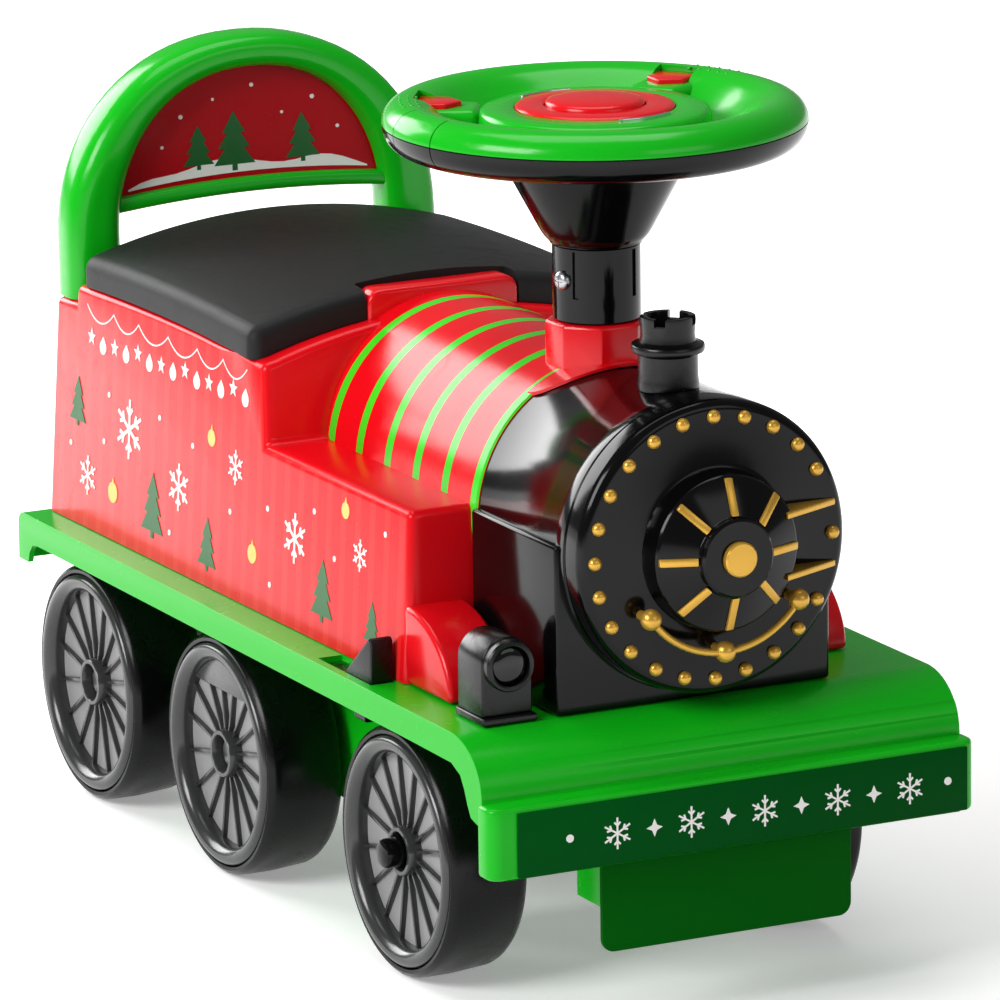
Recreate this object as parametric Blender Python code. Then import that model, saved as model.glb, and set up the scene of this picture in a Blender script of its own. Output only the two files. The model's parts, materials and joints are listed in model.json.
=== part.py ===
"""Six-wheeled electric ride-on in the shape of a steam engine, as an assembly of separate pieces.

Units are metres. +Z is up and the front faces -Y. Along the vehicle, a station is the distance behind
the bumper's front face. Heights are above the ground that the wheels stand on. The whole vehicle hangs
on one empty, which carries station 0 to its place ahead of the origin at the centre of the base.
"""

from math import asin, atan2, cos, pi, radians, sin, sqrt

import bmesh
import bpy
from mathutils import Matrix, Vector

# Fits
SEAT_GAP = 0.0003
RUNNING_GAP = 0.0003
MOVING_GAP = 0.0008
WALL = 0.003

# Footplate: the green moulding that everything stands on
DECK_END = 0.588
DECK_WIDTH = 0.274
DECK_TOP = 0.156
DECK_EDGE_ROUND = 0.006
SKIRT_DEPTH = 0.0153
REAR_LIP_DEPTH = 0.027
REAR_LIP_REACH = 0.008
NOSE_START = 0.047
NOSE_DROP = 0.028
NOSE_END = 0.0135
BUMPER_WIDTH = 0.277
BUMPER_DEPTH = 0.0155
BUMPER_LOW = 0.0892
BUMPER_HIGH = 0.1265
BUMPER_CORNER = 0.012
RAIL_OUTSIDE = 0.068
RAIL_THICKNESS = 0.004
RAIL_LOW = 0.046
RAIL_START = 0.233
RAIL_END = 0.576

# Bumper plate and tow plate
PLATE_HALF_WIDTH = 0.126
PLATE_MARGIN = 0.0015
PLATE_THICKNESS = 0.0012
TOW_HALF_WIDTH = 0.0716
TOW_LOW = 0.0405
TOW_HIGH = 0.118
TOW_STATION = 0.0104
TOW_THICKNESS = 0.003
TOW_CORNER = 0.007
TOW_BRACKET_DEPTH = 0.028
TOW_BRACKET_LOW = 0.063
TOW_BRACKET_TOP = DECK_TOP - 0.0175

# Wheels and axles
WHEEL_RADIUS = 0.066
WHEEL_STEPS = 20
WHEEL_INSIDE = 0.0745
WHEEL_OUTSIDE = 0.1215
WHEEL_TAPER = 0.0028
WHEEL_SHOULDER = 0.0045
FACE_RADIUS = 0.0606
FACE_BACK = 0.1078
FACE_FLOOR = 0.1098
FACE_RIM_INNER = 0.0510
SPOKE_COUNT = 16
SPOKE_WIDTH = 0.0020
SPOKE_FRONT = 0.1155
HUB_RING_RADIUS = 0.0130
HUB_RING_FRONT = 0.1185
CRESCENT_CHORD = 0.0340
HUB_CAP_RADIUS = 0.0078
HUB_CAP_FRONT = 0.1285
AXLE_RADIUS = 0.004
AXLE_HEAD_RADIUS = 0.0075
FRONT_STATION = 0.148
MIDDLE_STATION = 0.365
REAR_STATION = 0.537
BUSH_RADIUS = 0.007
BUSH_FLANGE_RADIUS = 0.011

# Body moulding: side tanks, cab, boiler, pedestal and splashers
BODY_FRONT = 0.1395
BODY_REAR = 0.580
BODY_HALF_WIDTH_FRONT = DECK_WIDTH / 2 - 0.0205
BODY_HALF_WIDTH_REAR = DECK_WIDTH / 2 - 0.0155
BODY_SIDE_DRAFT = 0.055
BODY_END_DRAFT = 0.0025
TANK_TOP = 0.246
CAB_FRONT = 0.3115
CAB_TOP = 0.289
ROOF_RISE = 0.0178
ROOF_HALF_WIDTH = BODY_HALF_WIDTH_FRONT - 0.0085
ROOF_STRIP_FRONT = 0.316
ROOF_STRIP_REAR = 0.3455
BODY_ROUND = 0.003
BACKREST_LEDGE_START = 0.5515
BACKREST_LEDGE = 0.278
BOILER_AXIS = 0.2385
BOILER_RADIUS = 0.0768
BARREL_STEPS = 36
BOILER_FRONT = 0.1362
TAB_DEPTH = 0.015
TAB_HALF_WIDTH = 0.0445
TAB_TOP = 0.3195
PEDESTAL_RADIUS = 0.027
PEDESTAL_TOP = 0.331
APRON_HALF_WIDTH = 0.0445
APRON_FRONT = 0.117
APRON_THICKNESS = 0.0016
SPLASHER_REACH = 0.048
SPLASHER_HEIGHT = 0.041
SPLASHER_INSIDE = BODY_HALF_WIDTH_FRONT - 0.0353

# Storage bin and seat lid
BIN_HALF_WIDTH = BODY_HALF_WIDTH_FRONT - 0.0285
BIN_FRONT = 0.3495
BIN_REAR = 0.526
BIN_FLOOR = 0.187
BIN_WALL = 0.002
BIN_FLANGE = 0.0035
SEAT_HALF_WIDTH = BODY_HALF_WIDTH_FRONT - 0.0035
SEAT_FRONT = 0.3265
SEAT_REAR = 0.5455
SEAT_EDGE_HEIGHT = 0.0155
SEAT_CROWN = 0.0178
SEAT_ROUND = 0.007
SEAT_SHOULDER = 106.5
SEAT_WALL = 0.0035
SEAT_PIVOT_RADIUS = 0.0042
SEAT_PIN_RADIUS = 0.0015
SEAT_EAR_INSIDE = SEAT_HALF_WIDTH - 0.043
SEAT_EAR_WIDTH = 0.006

# Smokebox, door and chimney
SMOKEBOX_RADIUS = 0.0755
SMOKEBOX_RIM_RADIUS = 0.0777
SMOKEBOX_RIM_DEPTH = 0.009
SMOKEBOX_FRONT = 0.0445
SADDLE_FRONT = 0.0511
SADDLE_REAR = 0.1385
SADDLE_HALF_WIDTH = BODY_HALF_WIDTH_FRONT - 0.0365
DOOR_RADIUS = 0.0768
DOOR_FACE = 0.028
DOOR_EDGE_ROUND = 0.005
DOOR_STEP_RADIUS = 0.0400
DOOR_STEP_FACE = 0.0135
DOOR_HUB_RADIUS = 0.0200
DOOR_HUB_FACE = 0.0015
DOOR_RIB_COUNT = 8
DOOR_RIB_WIDTH = 0.0042
RIVET_CIRCLE = 0.0677
RIVET_RADIUS = 0.0034
RIVET_STEPS = 24
RIVETS_LEFT_OUT = (5, 7)
STRAP_OFFSET = 0.016
STRAP_WIDTH = 0.0033
CAP_RADIUS = 0.009
CAP_FACE = -0.002
RAIL_CIRCLE = 0.052
RAIL_HALF_ANGLE = radians(55)
RAIL_TUBE_RADIUS = 0.0019
RAIL_BALL_RADIUS = 0.0055
RAIL_STATION = 0.0205
CHIMNEY_STATION = 0.0745
CHIMNEY_RADIUS = 0.0140
CHIMNEY_TOP = 0.352
CHIMNEY_COLLAR_RADIUS = 0.0178
CHIMNEY_COLLAR_HEIGHT = 0.3345
CHIMNEY_BORE = 0.0105

# Lamp
LAMP_ACROSS = -BODY_HALF_WIDTH_FRONT + 0.0115
LAMP_WIDTH = 0.031
LAMP_FRONT = 0.048
LAMP_DEPTH = 0.028
LAMP_CENTRE_HEIGHT = 0.1895
LAMP_RING_RADIUS = 0.0150
LAMP_RING_REACH = 0.0045
LAMP_FLANGE = 0.0035
LAMP_LENS_RADIUS = 0.0118

# Steering
WHEEL_PLANE = 0.4374
RIM_RADIUS = 0.1083
RIM_WIDTH = 0.0275
RIM_HEIGHT = 0.0125
RIM_WALL = 0.0025
DISC_RADIUS = 0.059
DISC_TOP = 0.0068
VALLEY_DEPTH = 0.0060
RING_DEPTH = 0.0032
PAD_HALF_WIDTH = 0.0140
PAD_TOP = 0.0062
CONTROL_RADIUS = 0.041
HORN_RADIUS = 0.0255
HORN_TOP = 0.0125
HORN_TRAVEL = 0.003
THUMB_ANGLE = radians(56)
THUMB_RADIUS = 0.0800
THUMB_LENGTH = 0.020
THUMB_WIDTH = 0.015
THUMB_TOP = 0.0078
CONE_TOP_RADIUS = 0.0465
CONE_TOP_HEIGHT = WHEEL_PLANE - 0.0234
CONE_FOOT_RADIUS = 0.0240
CONE_FOOT_HEIGHT = 0.3745
SLEEVE_RADIUS = 0.0228
ROD_RADIUS = 0.005
ROD_TOP = 0.400
CRANK_LENGTH = 0.028
CRANK_HEIGHT = 0.083
CRANK_THICKNESS = 0.005
LINK_PIN_RADIUS = 0.0025
LINK_PIN_PLAY = 0.0013
TIE_ROD_HEIGHT = 0.0765
TIE_ROD_THICKNESS = 0.0035
TIE_ROD_WIDTH = 0.013
KINGPIN_ACROSS = 0.060
KINGPIN_RADIUS = 0.004
KNUCKLE_RADIUS = 0.0080
KNUCKLE_LOW = 0.050
KNUCKLE_HIGH = 0.098
KNUCKLE_ARM = 0.005
BEAM_DEPTH = 0.016

# Drive
GEAR_MODULE = 0.0019
GEAR_TEETH = 24
PINION_TEETH = 8
GEAR_INSIDE = 0.010
GEAR_WIDTH = 0.010
GEARBOX_WALL = 0.0025
MOTOR_RADIUS = 0.0135
MOTOR_LENGTH = 0.048
BATTERY_FRONT = 0.245
BATTERY_LENGTH = 0.101
BATTERY_WIDTH = 0.070
BATTERY_HEIGHT = 0.047
TRAY_FLOOR = 0.096

# Accelerator pedal
PEDAL_FRONT = 0.150
PEDAL_LENGTH = 0.061
PEDAL_HEIGHT = 0.024
PEDAL_OUTSIDE = DECK_WIDTH / 2 - 0.0058
PEDAL_WIDTH = 0.0128
PEDAL_PIN_RADIUS = 0.0018
PEDAL_TRAVEL = radians(5)

# Backrest
BACKREST_STATION = 0.570
BACKREST_DEPTH = 0.030
BACKREST_OUTSIDE = BODY_HALF_WIDTH_FRONT - 0.0075
BACKREST_LEG_WIDTH = 0.0245
BACKREST_TOP_WIDTH = 0.020
BACKREST_LEG_HEIGHT = 0.030
BACKREST_RISE = 0.109
BACKREST_SPRING = BACKREST_LEDGE + BACKREST_LEG_HEIGHT
BACKREST_TOP = BACKREST_SPRING + BACKREST_RISE
ARCH_SIDES = 10
CROSSBAR_LOW = BACKREST_SPRING + 0.0175
CROSSBAR_HEIGHT = 0.0105
PANEL_THICKNESS = 0.005

RED = (0.78, 0.020, 0.025)
GREEN = (0.045, 0.52, 0.035)
DARK_GREEN = (0.004, 0.085, 0.022)
BLACK = (0.012, 0.012, 0.013)
SOFT_BLACK = (0.030, 0.030, 0.032)
GREY = (0.20, 0.19, 0.185)
GOLD = (0.62, 0.40, 0.12)
STEEL = (0.55, 0.56, 0.58)
NYLON = (0.80, 0.79, 0.74)

materials = {}


def clear_scene():
    for thing in list(bpy.data.objects):
        bpy.data.objects.remove(thing, do_unlink=True)


def material(name, colour, roughness, metallic=0.0):
    if name not in materials:
        made = bpy.data.materials.new(name)
        made.use_nodes = True
        shader = made.node_tree.nodes["Principled BSDF"]
        shader.inputs["Base Color"].default_value = (*colour, 1.0)
        shader.inputs["Roughness"].default_value = roughness
        shader.inputs["Metallic"].default_value = metallic
        made.diffuse_color = (*colour, 1.0)
        materials[name] = made
    return materials[name]


def red():
    return material("red_moulding", RED, 0.25)


def green():
    return material("green_moulding", GREEN, 0.28)


def dark_green():
    return material("dark_green_plate", DARK_GREEN, 0.35)


def gloss_black():
    return material("gloss_black", BLACK, 0.12)


def satin_black():
    return material("satin_black", SOFT_BLACK, 0.55)


def wheel_grey():
    return material("wheel_grey", GREY, 0.4)


def gold():
    return material("gold_paint", GOLD, 0.35, 0.6)


def steel():
    return material("steel", STEEL, 0.3, 1.0)


def nylon():
    return material("nylon", NYLON, 0.5)


clear_scene()
vehicle = bpy.data.objects.new("vehicle", None)
bpy.context.scene.collection.objects.link(vehicle)
vehicle.location = (0.0, -(REAR_STATION + WHEEL_RADIUS + CAP_FACE) / 2, 0.0)


def add(name, bm, finish, smooth_angle=35):
    """Makes the mesh an object on the vehicle, shaded smooth up to the given angle."""
    bmesh.ops.recalc_face_normals(bm, faces=bm.faces)
    mesh = bpy.data.meshes.new(name)
    bm.to_mesh(mesh)
    bm.free()
    mesh.shade_smooth()
    mesh.set_sharp_from_angle(angle=radians(smooth_angle))
    if finish:
        mesh.materials.append(finish)
    made = bpy.data.objects.new(name, mesh)
    bpy.context.scene.collection.objects.link(made)
    made.parent = vehicle
    return made


def pivot_at(piece, x, y, z):
    """Moves the object's origin to a joint's axis and leaves its shape where it is."""
    piece.data.transform(Matrix.Translation((-x, -y, -z)))
    piece.location = (x, y, z)
    return piece


def boolean(target, tool, operation):
    made = target.modifiers.new(tool.name, "BOOLEAN")
    made.operation = operation
    made.solver = "EXACT"
    made.object = tool
    tool.hide_render = True
    tool.display_type = "WIRE"


def cut(target, *tools):
    for tool in tools:
        boolean(target, tool, "DIFFERENCE")
    return target


def fuse(target, *tools):
    for tool in tools:
        boolean(target, tool, "UNION")
    return target


def keep_inside(target, tool):
    boolean(target, tool, "INTERSECT")
    return target


def along(axis, a, b, t):
    """A point from its two outline coordinates and its place along the axis."""
    if axis == "X":
        return (t, a, b)
    if axis == "Y":
        return (a, t, b)
    return (a, b, t)


def prism_mesh(outline, axis, low, high):
    bm = bmesh.new()
    face = bm.faces.new([bm.verts.new(along(axis, a, b, low)) for a, b in outline])
    made = bmesh.ops.extrude_face_region(bm, geom=[face])
    moved = [v for v in made["geom"] if isinstance(v, bmesh.types.BMVert)]
    bmesh.ops.translate(bm, verts=moved, vec=along(axis, 0.0, 0.0, high - low))
    return bm


def prism(name, outline, axis, low, high, finish=None):
    return add(name, prism_mesh(outline, axis, low, high), finish)


def box_mesh(xs, ys, zs):
    outline = [(ys[0], zs[0]), (ys[1], zs[0]), (ys[1], zs[1]), (ys[0], zs[1])]
    return prism_mesh(outline, "X", xs[0], xs[1])


def box(name, xs, ys, zs, finish=None):
    return add(name, box_mesh(xs, ys, zs), finish)


def round_edges(bm, width, segments, chosen):
    """Rounds the edges for which chosen says yes."""
    edges = [edge for edge in bm.edges if chosen(edge)]
    bmesh.ops.bevel(bm, geom=edges, offset=width, segments=segments, affect="EDGES", profile=0.5)
    return bm


def along_axis(edge, axis):
    """Whether the edge runs along this axis."""
    run = edge.verts[1].co - edge.verts[0].co
    return abs(run["XYZ".index(axis)]) > 0.99 * run.length


def both_ends(edge, test):
    return all(test(vert.co) for vert in edge.verts)


def turned(name, profile, axis, centre, steps, finish=None, smooth_angle=35):
    """Revolves (radius, place along the axis) points. A profile that leaves the axis closes on itself."""
    turn = Vector(along(axis, 0.0, 0.0, 1.0))
    out = Vector((0.0, 0.0, 1.0)) if axis != "Z" else Vector((1.0, 0.0, 0.0))
    middle = Vector(centre)
    bm = bmesh.new()
    verts = [bm.verts.new(middle + out * r + turn * (t - middle.dot(turn))) for r, t in profile]
    chain = list(zip(verts, verts[1:]))
    if profile[0][0] > 0 and profile[-1][0] > 0:
        chain.append((verts[-1], verts[0]))
    edges = [bm.edges.new(pair) for pair in chain]
    bmesh.ops.spin(bm, geom=verts + edges, cent=middle, axis=turn, angle=2 * pi, steps=steps)
    bmesh.ops.remove_doubles(bm, verts=bm.verts, dist=1e-6)
    bmesh.ops.dissolve_degenerate(bm, edges=bm.edges, dist=1e-7)
    ends = ((profile[0], profile[1]), (profile[-1], profile[-2]))
    flat = [end[1] for end, near in ends if end[0] == 0 and end[1] == near[1]]
    hubs = []
    for vert in bm.verts:
        place = vert.co.dot(turn)
        off_axis = (vert.co - middle) - turn * (place - middle.dot(turn))
        if off_axis.length < 1e-6 and any(abs(place - end) < 1e-6 for end in flat):
            hubs.append(vert)
    bmesh.ops.dissolve_verts(bm, verts=hubs)
    return add(name, bm, finish, smooth_angle)


def cylinder(name, axis, centre, radius, low, high, steps, finish=None):
    return turned(name, [(0, low), (radius, low), (radius, high), (0, high)], axis, centre, steps, finish)


def tube(name, axis, centre, inner, outer, low, high, steps, finish=None):
    profile = [(inner, low), (outer, low), (outer, high), (inner, high)]
    return turned(name, profile, axis, centre, steps, finish)


def arc(cx, cy, rx, ry, start, end, steps):
    """Points of an elliptical arc, with its ends, at angles in degrees."""
    angles = [radians(start + (end - start) * i / steps) for i in range(steps + 1)]
    return [(cx + rx * cos(a), cy + ry * sin(a)) for a in angles]


def join_islands(name, meshes):
    """One mesh of several closed shapes that don't touch, for use as one Boolean tool."""
    whole = bmesh.new()
    for bm in meshes:
        piece = bpy.data.meshes.new("island")
        bmesh.ops.recalc_face_normals(bm, faces=bm.faces)
        bm.to_mesh(piece)
        bm.free()
        whole.from_mesh(piece)
        bpy.data.meshes.remove(piece)
    return add(name, whole, None)


def skirt_low():
    return DECK_TOP - SKIRT_DEPTH


def nose_curve(inset=0.0, steps=5):
    """The deck's rounded front slope, from the deck forward and down to the bumper."""
    reach = NOSE_START - NOSE_END - inset
    return arc(NOSE_START, DECK_TOP - NOSE_DROP, -reach, NOSE_DROP - inset, 90, 0, steps)


def footplate():
    half = DECK_WIDTH / 2
    rear_round = arc(DECK_END - 0.006, DECK_TOP - 0.006, 0.006, 0.006, 0, 90, 3)
    sweep = [
        (BUMPER_DEPTH + 0.0035, BUMPER_HIGH - 0.0117),
        (BUMPER_DEPTH + 0.0105, BUMPER_HIGH - 0.0097),
        (BUMPER_DEPTH + 0.0170, BUMPER_HIGH + 0.0035),
        (NOSE_START - 0.0097, skirt_low() - 0.0045),
        (NOSE_START, skirt_low() - 0.0004),
    ]
    lip = [
        (DECK_END - REAR_LIP_REACH - 0.0175, skirt_low()),
        (DECK_END - REAR_LIP_REACH - 0.0090, DECK_TOP - REAR_LIP_DEPTH + 0.004),
        (DECK_END - REAR_LIP_REACH, DECK_TOP - REAR_LIP_DEPTH),
        (DECK_END, DECK_TOP - REAR_LIP_DEPTH),
    ]
    top_chain = rear_round + nose_curve()
    outline = top_chain + [
        (NOSE_END, BUMPER_HIGH - 0.0117),
    ] + sweep + [(NOSE_START + 0.01, skirt_low())] + lip
    bm = prism_mesh(outline, "X", -half, half)
    chain = {(round(y, 6), round(z, 6)) for y, z in top_chain}

    def on_top_edge(edge):
        if along_axis(edge, "X"):
            return False
        return both_ends(edge, lambda co: (round(co.y, 6), round(co.z, 6)) in chain)

    round_edges(bm, DECK_EDGE_ROUND, 2, on_top_edge)
    deck = add("footplate", bm, green())

    bumper_half = BUMPER_WIDTH / 2
    corner = BUMPER_CORNER
    plan = [(bumper_half, BUMPER_DEPTH), (-bumper_half, BUMPER_DEPTH)]
    plan += arc(-bumper_half + corner, corner, corner, corner, 180, 270, 4)
    plan += arc(bumper_half - corner, corner, corner, corner, 270, 360, 4)
    bm = prism_mesh(plan, "Z", BUMPER_LOW, BUMPER_HIGH)

    def on_front_rim(edge):
        return both_ends(edge, lambda co: co.y < BUMPER_DEPTH - 1e-4) and not along_axis(edge, "Z")

    round_edges(bm, 0.0022, 2, on_front_rim)
    fuse(deck, add("bumper_block", bm, None))

    inner_half = half - WALL
    inner = nose_curve(WALL) + [
        (NOSE_END + WALL, BUMPER_HIGH - WALL),
        (BUMPER_DEPTH + 0.02, BUMPER_LOW - 0.02),
    ]
    inner += [(DECK_END - WALL, BUMPER_LOW - 0.02), (DECK_END - WALL, DECK_TOP - WALL)]
    cut(deck, prism("deck_hollow", inner, "X", -inner_half, inner_half))
    cut(
        deck,
        box(
            "bumper_hollow",
            (-bumper_half + corner, bumper_half - corner),
            (WALL, BUMPER_DEPTH + 0.01),
            (BUMPER_LOW - 0.02, BUMPER_HIGH - WALL),
        ),
    )

    rail_inside = RAIL_OUTSIDE - RAIL_THICKNESS
    deck_under = DECK_TOP - WALL
    bm = box_mesh((-RAIL_OUTSIDE, RAIL_OUTSIDE), (RAIL_START, RAIL_END), (RAIL_LOW, deck_under + 0.001))
    channel = add("chassis_block", bm, None)
    cut(
        channel,
        box(
            "chassis_channel",
            (-rail_inside, rail_inside),
            (RAIL_START + RAIL_THICKNESS, RAIL_END - RAIL_THICKNESS),
            (RAIL_LOW - 0.01, deck_under + 0.01),
        ),
        box(
            "chassis_front_gap",
            (-rail_inside, rail_inside),
            (RAIL_START - 0.01, RAIL_START + 0.01),
            (0, 0.120),
        ),
        box(
            "chassis_rear_gap", (-rail_inside, rail_inside), (RAIL_END - 0.01, RAIL_END + 0.01), (0, 0.120)
        ),
    )
    fuse(deck, channel)

    tow_back = TOW_STATION + TOW_THICKNESS + SEAT_GAP
    bracket_outside = TOW_HALF_WIDTH - 0.0016
    carriers = [
        box_mesh(
            (-0.052, 0.052), (WALL - 0.001, TOW_STATION - SEAT_GAP), (0.102, BUMPER_HIGH - WALL + 0.001)
        ),
        box_mesh(
            (-bracket_outside, -bracket_outside + WALL),
            (tow_back, tow_back + TOW_BRACKET_DEPTH),
            (TOW_BRACKET_LOW, TOW_BRACKET_TOP),
        ),
        box_mesh(
            (bracket_outside - WALL, bracket_outside),
            (tow_back, tow_back + TOW_BRACKET_DEPTH),
            (TOW_BRACKET_LOW, TOW_BRACKET_TOP),
        ),
    ]
    fuse(deck, join_islands("tow_carriers", carriers))

    low_block = DECK_TOP - 0.006
    pin_y, pin_z = pedal_pivot()
    pedal_block = box(
        "pedal_block",
        (-half + 0.0015, -PEDAL_OUTSIDE + PEDAL_WIDTH + 0.004),
        (pin_y - 0.0045, pin_y + 0.0050),
        (low_block, deck_under + 0.001),
    )
    fuse(deck, pedal_block)
    cut(
        deck,
        box(
            "pedal_slot",
            (-PEDAL_OUTSIDE - 0.0005, -PEDAL_OUTSIDE + PEDAL_WIDTH + 0.0005),
            (PEDAL_FRONT - 0.0010, PEDAL_FRONT + PEDAL_LENGTH + 0.0010),
            (low_block - 0.02, DECK_TOP + 0.01),
        ),
        cylinder(
            "pedal_pin_hole",
            "X",
            (0, pin_y, pin_z),
            PEDAL_PIN_RADIUS + RUNNING_GAP,
            -PEDAL_OUTSIDE - 0.0026,
            -PEDAL_OUTSIDE + PEDAL_WIDTH + 0.0026,
            12,
        ),
        cylinder("rod_hole", "Z", (0, FRONT_STATION, 0), ROD_RADIUS + 0.001, 0.140, 0.170, 20),
    )
    holes = [
        ("bush_hole_middle", MIDDLE_STATION),
        ("bush_hole_rear", REAR_STATION),
    ]
    for name, station in holes:
        centre = (0, station, WHEEL_RADIUS)
        cut(
            deck,
            cylinder(
                name, "X", centre, BUSH_RADIUS + SEAT_GAP, -RAIL_OUTSIDE - 0.01, RAIL_OUTSIDE + 0.01, 16
            ),
        )
    return deck


def pedal_pivot():
    return PEDAL_FRONT + PEDAL_LENGTH - 0.0050, DECK_TOP - WALL


def bumper_plate():
    low = BUMPER_LOW + PLATE_MARGIN + 0.0015
    high = BUMPER_HIGH - PLATE_MARGIN - 0.0025
    bm = box_mesh(
        (-PLATE_HALF_WIDTH, PLATE_HALF_WIDTH),
        (-SEAT_GAP - PLATE_THICKNESS, -SEAT_GAP),
        (low, high),
    )
    return add("bumper_plate", bm, dark_green())


def tow_plate():
    half, corner = TOW_HALF_WIDTH, TOW_CORNER
    outline = [(half, TOW_HIGH), (-half, TOW_HIGH)]
    outline += arc(-half + corner, TOW_LOW + corner, corner, corner, 180, 270, 3)
    outline += arc(half - corner, TOW_LOW + corner, corner, corner, 270, 360, 3)
    return prism("tow_plate", outline, "Y", TOW_STATION, TOW_STATION + TOW_THICKNESS, dark_green())


def wheel_drum(name, side, station):
    """The black moulded wheel, with its recess for the spoked face on the outside."""
    bore = AXLE_RADIUS + RUNNING_GAP
    recess = FACE_RADIUS + SEAT_GAP
    floor = FACE_BACK - SEAT_GAP
    edge = WHEEL_SHOULDER
    inner_radius = WHEEL_RADIUS - WHEEL_TAPER
    profile = [
        (bore, WHEEL_INSIDE),
        (inner_radius - edge, WHEEL_INSIDE),
        (inner_radius, WHEEL_INSIDE + edge),
        (WHEEL_RADIUS, WHEEL_OUTSIDE - 1.6 * edge),
        (recess, WHEEL_OUTSIDE - 0.55 * edge),
        (recess, floor),
        (bore, floor),
    ]
    return turned(
        name,
        [(r, side * x) for r, x in profile],
        "X",
        (0, station, WHEEL_RADIUS),
        WHEEL_STEPS,
        satin_black(),
    )


def wheel_face(name, side, station, crescent=False, capped=False):
    """The grey spoked face: rounded rim, dished floor, spokes, hub ring and a crescent or a cap."""
    centre = (0, station, WHEEL_RADIUS)
    rim_middle = (FACE_RADIUS + FACE_RIM_INNER) / 2
    bore = AXLE_HEAD_RADIUS + RUNNING_GAP
    profile = [(bore, FACE_BACK), (FACE_RADIUS, FACE_BACK), (FACE_RADIUS, WHEEL_OUTSIDE - 0.0030)]
    profile += [(rim_middle + 0.0006, WHEEL_OUTSIDE)]
    profile += [(FACE_RIM_INNER, FACE_FLOOR)]
    profile += [(HUB_RING_RADIUS + 0.0008, FACE_FLOOR), (HUB_RING_RADIUS, HUB_RING_FRONT)]
    profile += [(bore, HUB_RING_FRONT)]
    if capped:
        cap = HUB_CAP_RADIUS
        top = [(cap, HUB_RING_FRONT), (cap, HUB_CAP_FRONT - 0.003), (cap - 0.003, HUB_CAP_FRONT)]
        profile = [(0, FACE_BACK)] + profile[1:-1] + top + [(0, HUB_CAP_FRONT)]
    face = turned(name, [(r, side * x) for r, x in profile], "X", centre, WHEEL_STEPS, wheel_grey())

    spokes = []
    inner, outer = HUB_RING_RADIUS - 0.0010, FACE_RIM_INNER + 0.0010
    for i in range(SPOKE_COUNT):
        low, high = sorted((side * (FACE_FLOOR - 0.0005), side * SPOKE_FRONT))
        bm = box_mesh((low, high), (-SPOKE_WIDTH / 2, SPOKE_WIDTH / 2), (inner, outer))
        turn = Matrix.Rotation(2 * pi * (i + 0.5) / SPOKE_COUNT, 4, "X")
        bmesh.ops.transform(bm, matrix=Matrix.Translation(centre) @ turn, verts=bm.verts)
        spokes.append(bm)
    fuse(face, join_islands(name + "_spokes", spokes))
    if crescent:
        reach = FACE_RIM_INNER
        spread = asin(CRESCENT_CHORD / reach)
        start, end = spread * 180 / pi, 180 - spread * 180 / pi
        outline = arc(station, WHEEL_RADIUS, reach, reach, start, end, 8)
        low, high = sorted((side * (FACE_FLOOR - 0.0005), side * (SPOKE_FRONT + 0.0008)))
        fuse(face, prism(name + "_crescent", outline, "X", low, high))
    return face


def axle(name, station):
    """A steel axle with a push-on nut at each end, right across the vehicle."""
    head = FACE_FLOOR + 0.0035
    profile = [(0, -head)]
    for side in (-1, 1):
        ends = [(AXLE_HEAD_RADIUS, side * head), (AXLE_HEAD_RADIUS, side * (FACE_BACK + SEAT_GAP))]
        ends += [(AXLE_RADIUS, side * (FACE_BACK + SEAT_GAP))]
        profile += ends if side < 0 else ends[::-1]
    profile += [(0, head)]
    return turned(name, profile, "X", (0, station, WHEEL_RADIUS), 10, steel())


def bush(name, side, station):
    bore = AXLE_RADIUS + RUNNING_GAP
    inside = RAIL_OUTSIDE - RAIL_THICKNESS - 0.002
    profile = [
        (bore, side * inside),
        (BUSH_RADIUS, side * inside),
        (BUSH_RADIUS, side * (RAIL_OUTSIDE + SEAT_GAP)),
        (BUSH_FLANGE_RADIUS, side * (RAIL_OUTSIDE + SEAT_GAP)),
        (BUSH_FLANGE_RADIUS, side * (WHEEL_INSIDE - MOVING_GAP)),
        (bore, side * (WHEEL_INSIDE - MOVING_GAP)),
    ]
    return turned(name, profile, "X", (0, station, WHEEL_RADIUS), 10, nylon())


def body_half_width(station, height):
    """The drafted side: wider to the rear and narrower with height."""
    rise = (station - BODY_FRONT) / (BODY_REAR - BODY_FRONT)
    base = BODY_HALF_WIDTH_FRONT + (BODY_HALF_WIDTH_REAR - BODY_HALF_WIDTH_FRONT) * rise
    return base - (height - DECK_TOP) * BODY_SIDE_DRAFT


def body_profile(inset, foot):
    """The side outline of tanks, cab and backrest ledge, drawn in by the inset."""
    lean = BODY_END_DRAFT
    return [
        (BODY_FRONT + inset, foot),
        (BODY_FRONT + lean + inset, TANK_TOP - inset),
        (CAB_FRONT + inset, TANK_TOP - inset),
        (CAB_FRONT + 1.6 * lean + inset, CAB_TOP - inset),
        (BACKREST_LEDGE_START - inset, CAB_TOP - inset),
        (BACKREST_LEDGE_START + 0.0005 - inset, BACKREST_LEDGE - inset),
        (BODY_REAR - lean - inset, BACKREST_LEDGE - inset),
        (BODY_REAR - inset, foot),
    ]


def drafted_prism(outline, inset):
    """A side outline carried across the vehicle, with both sides on the drafted faces."""
    bm = prism_mesh(outline, "X", -1.0, 1.0)
    for vert in bm.verts:
        vert.co.x *= body_half_width(vert.co.y, vert.co.z) - inset
    return bm


def roof_height(x):
    """The cab's arched roof, highest over the middle."""
    return CAB_TOP + ROOF_RISE * (1 - (x / ROOF_HALF_WIDTH) ** 2)


def roof_outline(half, lift, foot):
    """The arch between both sides, moved up or down by the lift, on a straight foot."""
    points = [(-half, foot)]
    points += [(half * (i / 6 - 1), roof_height(half * (i / 6 - 1)) + lift) for i in range(13)]
    return points + [(half, foot)]


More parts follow.
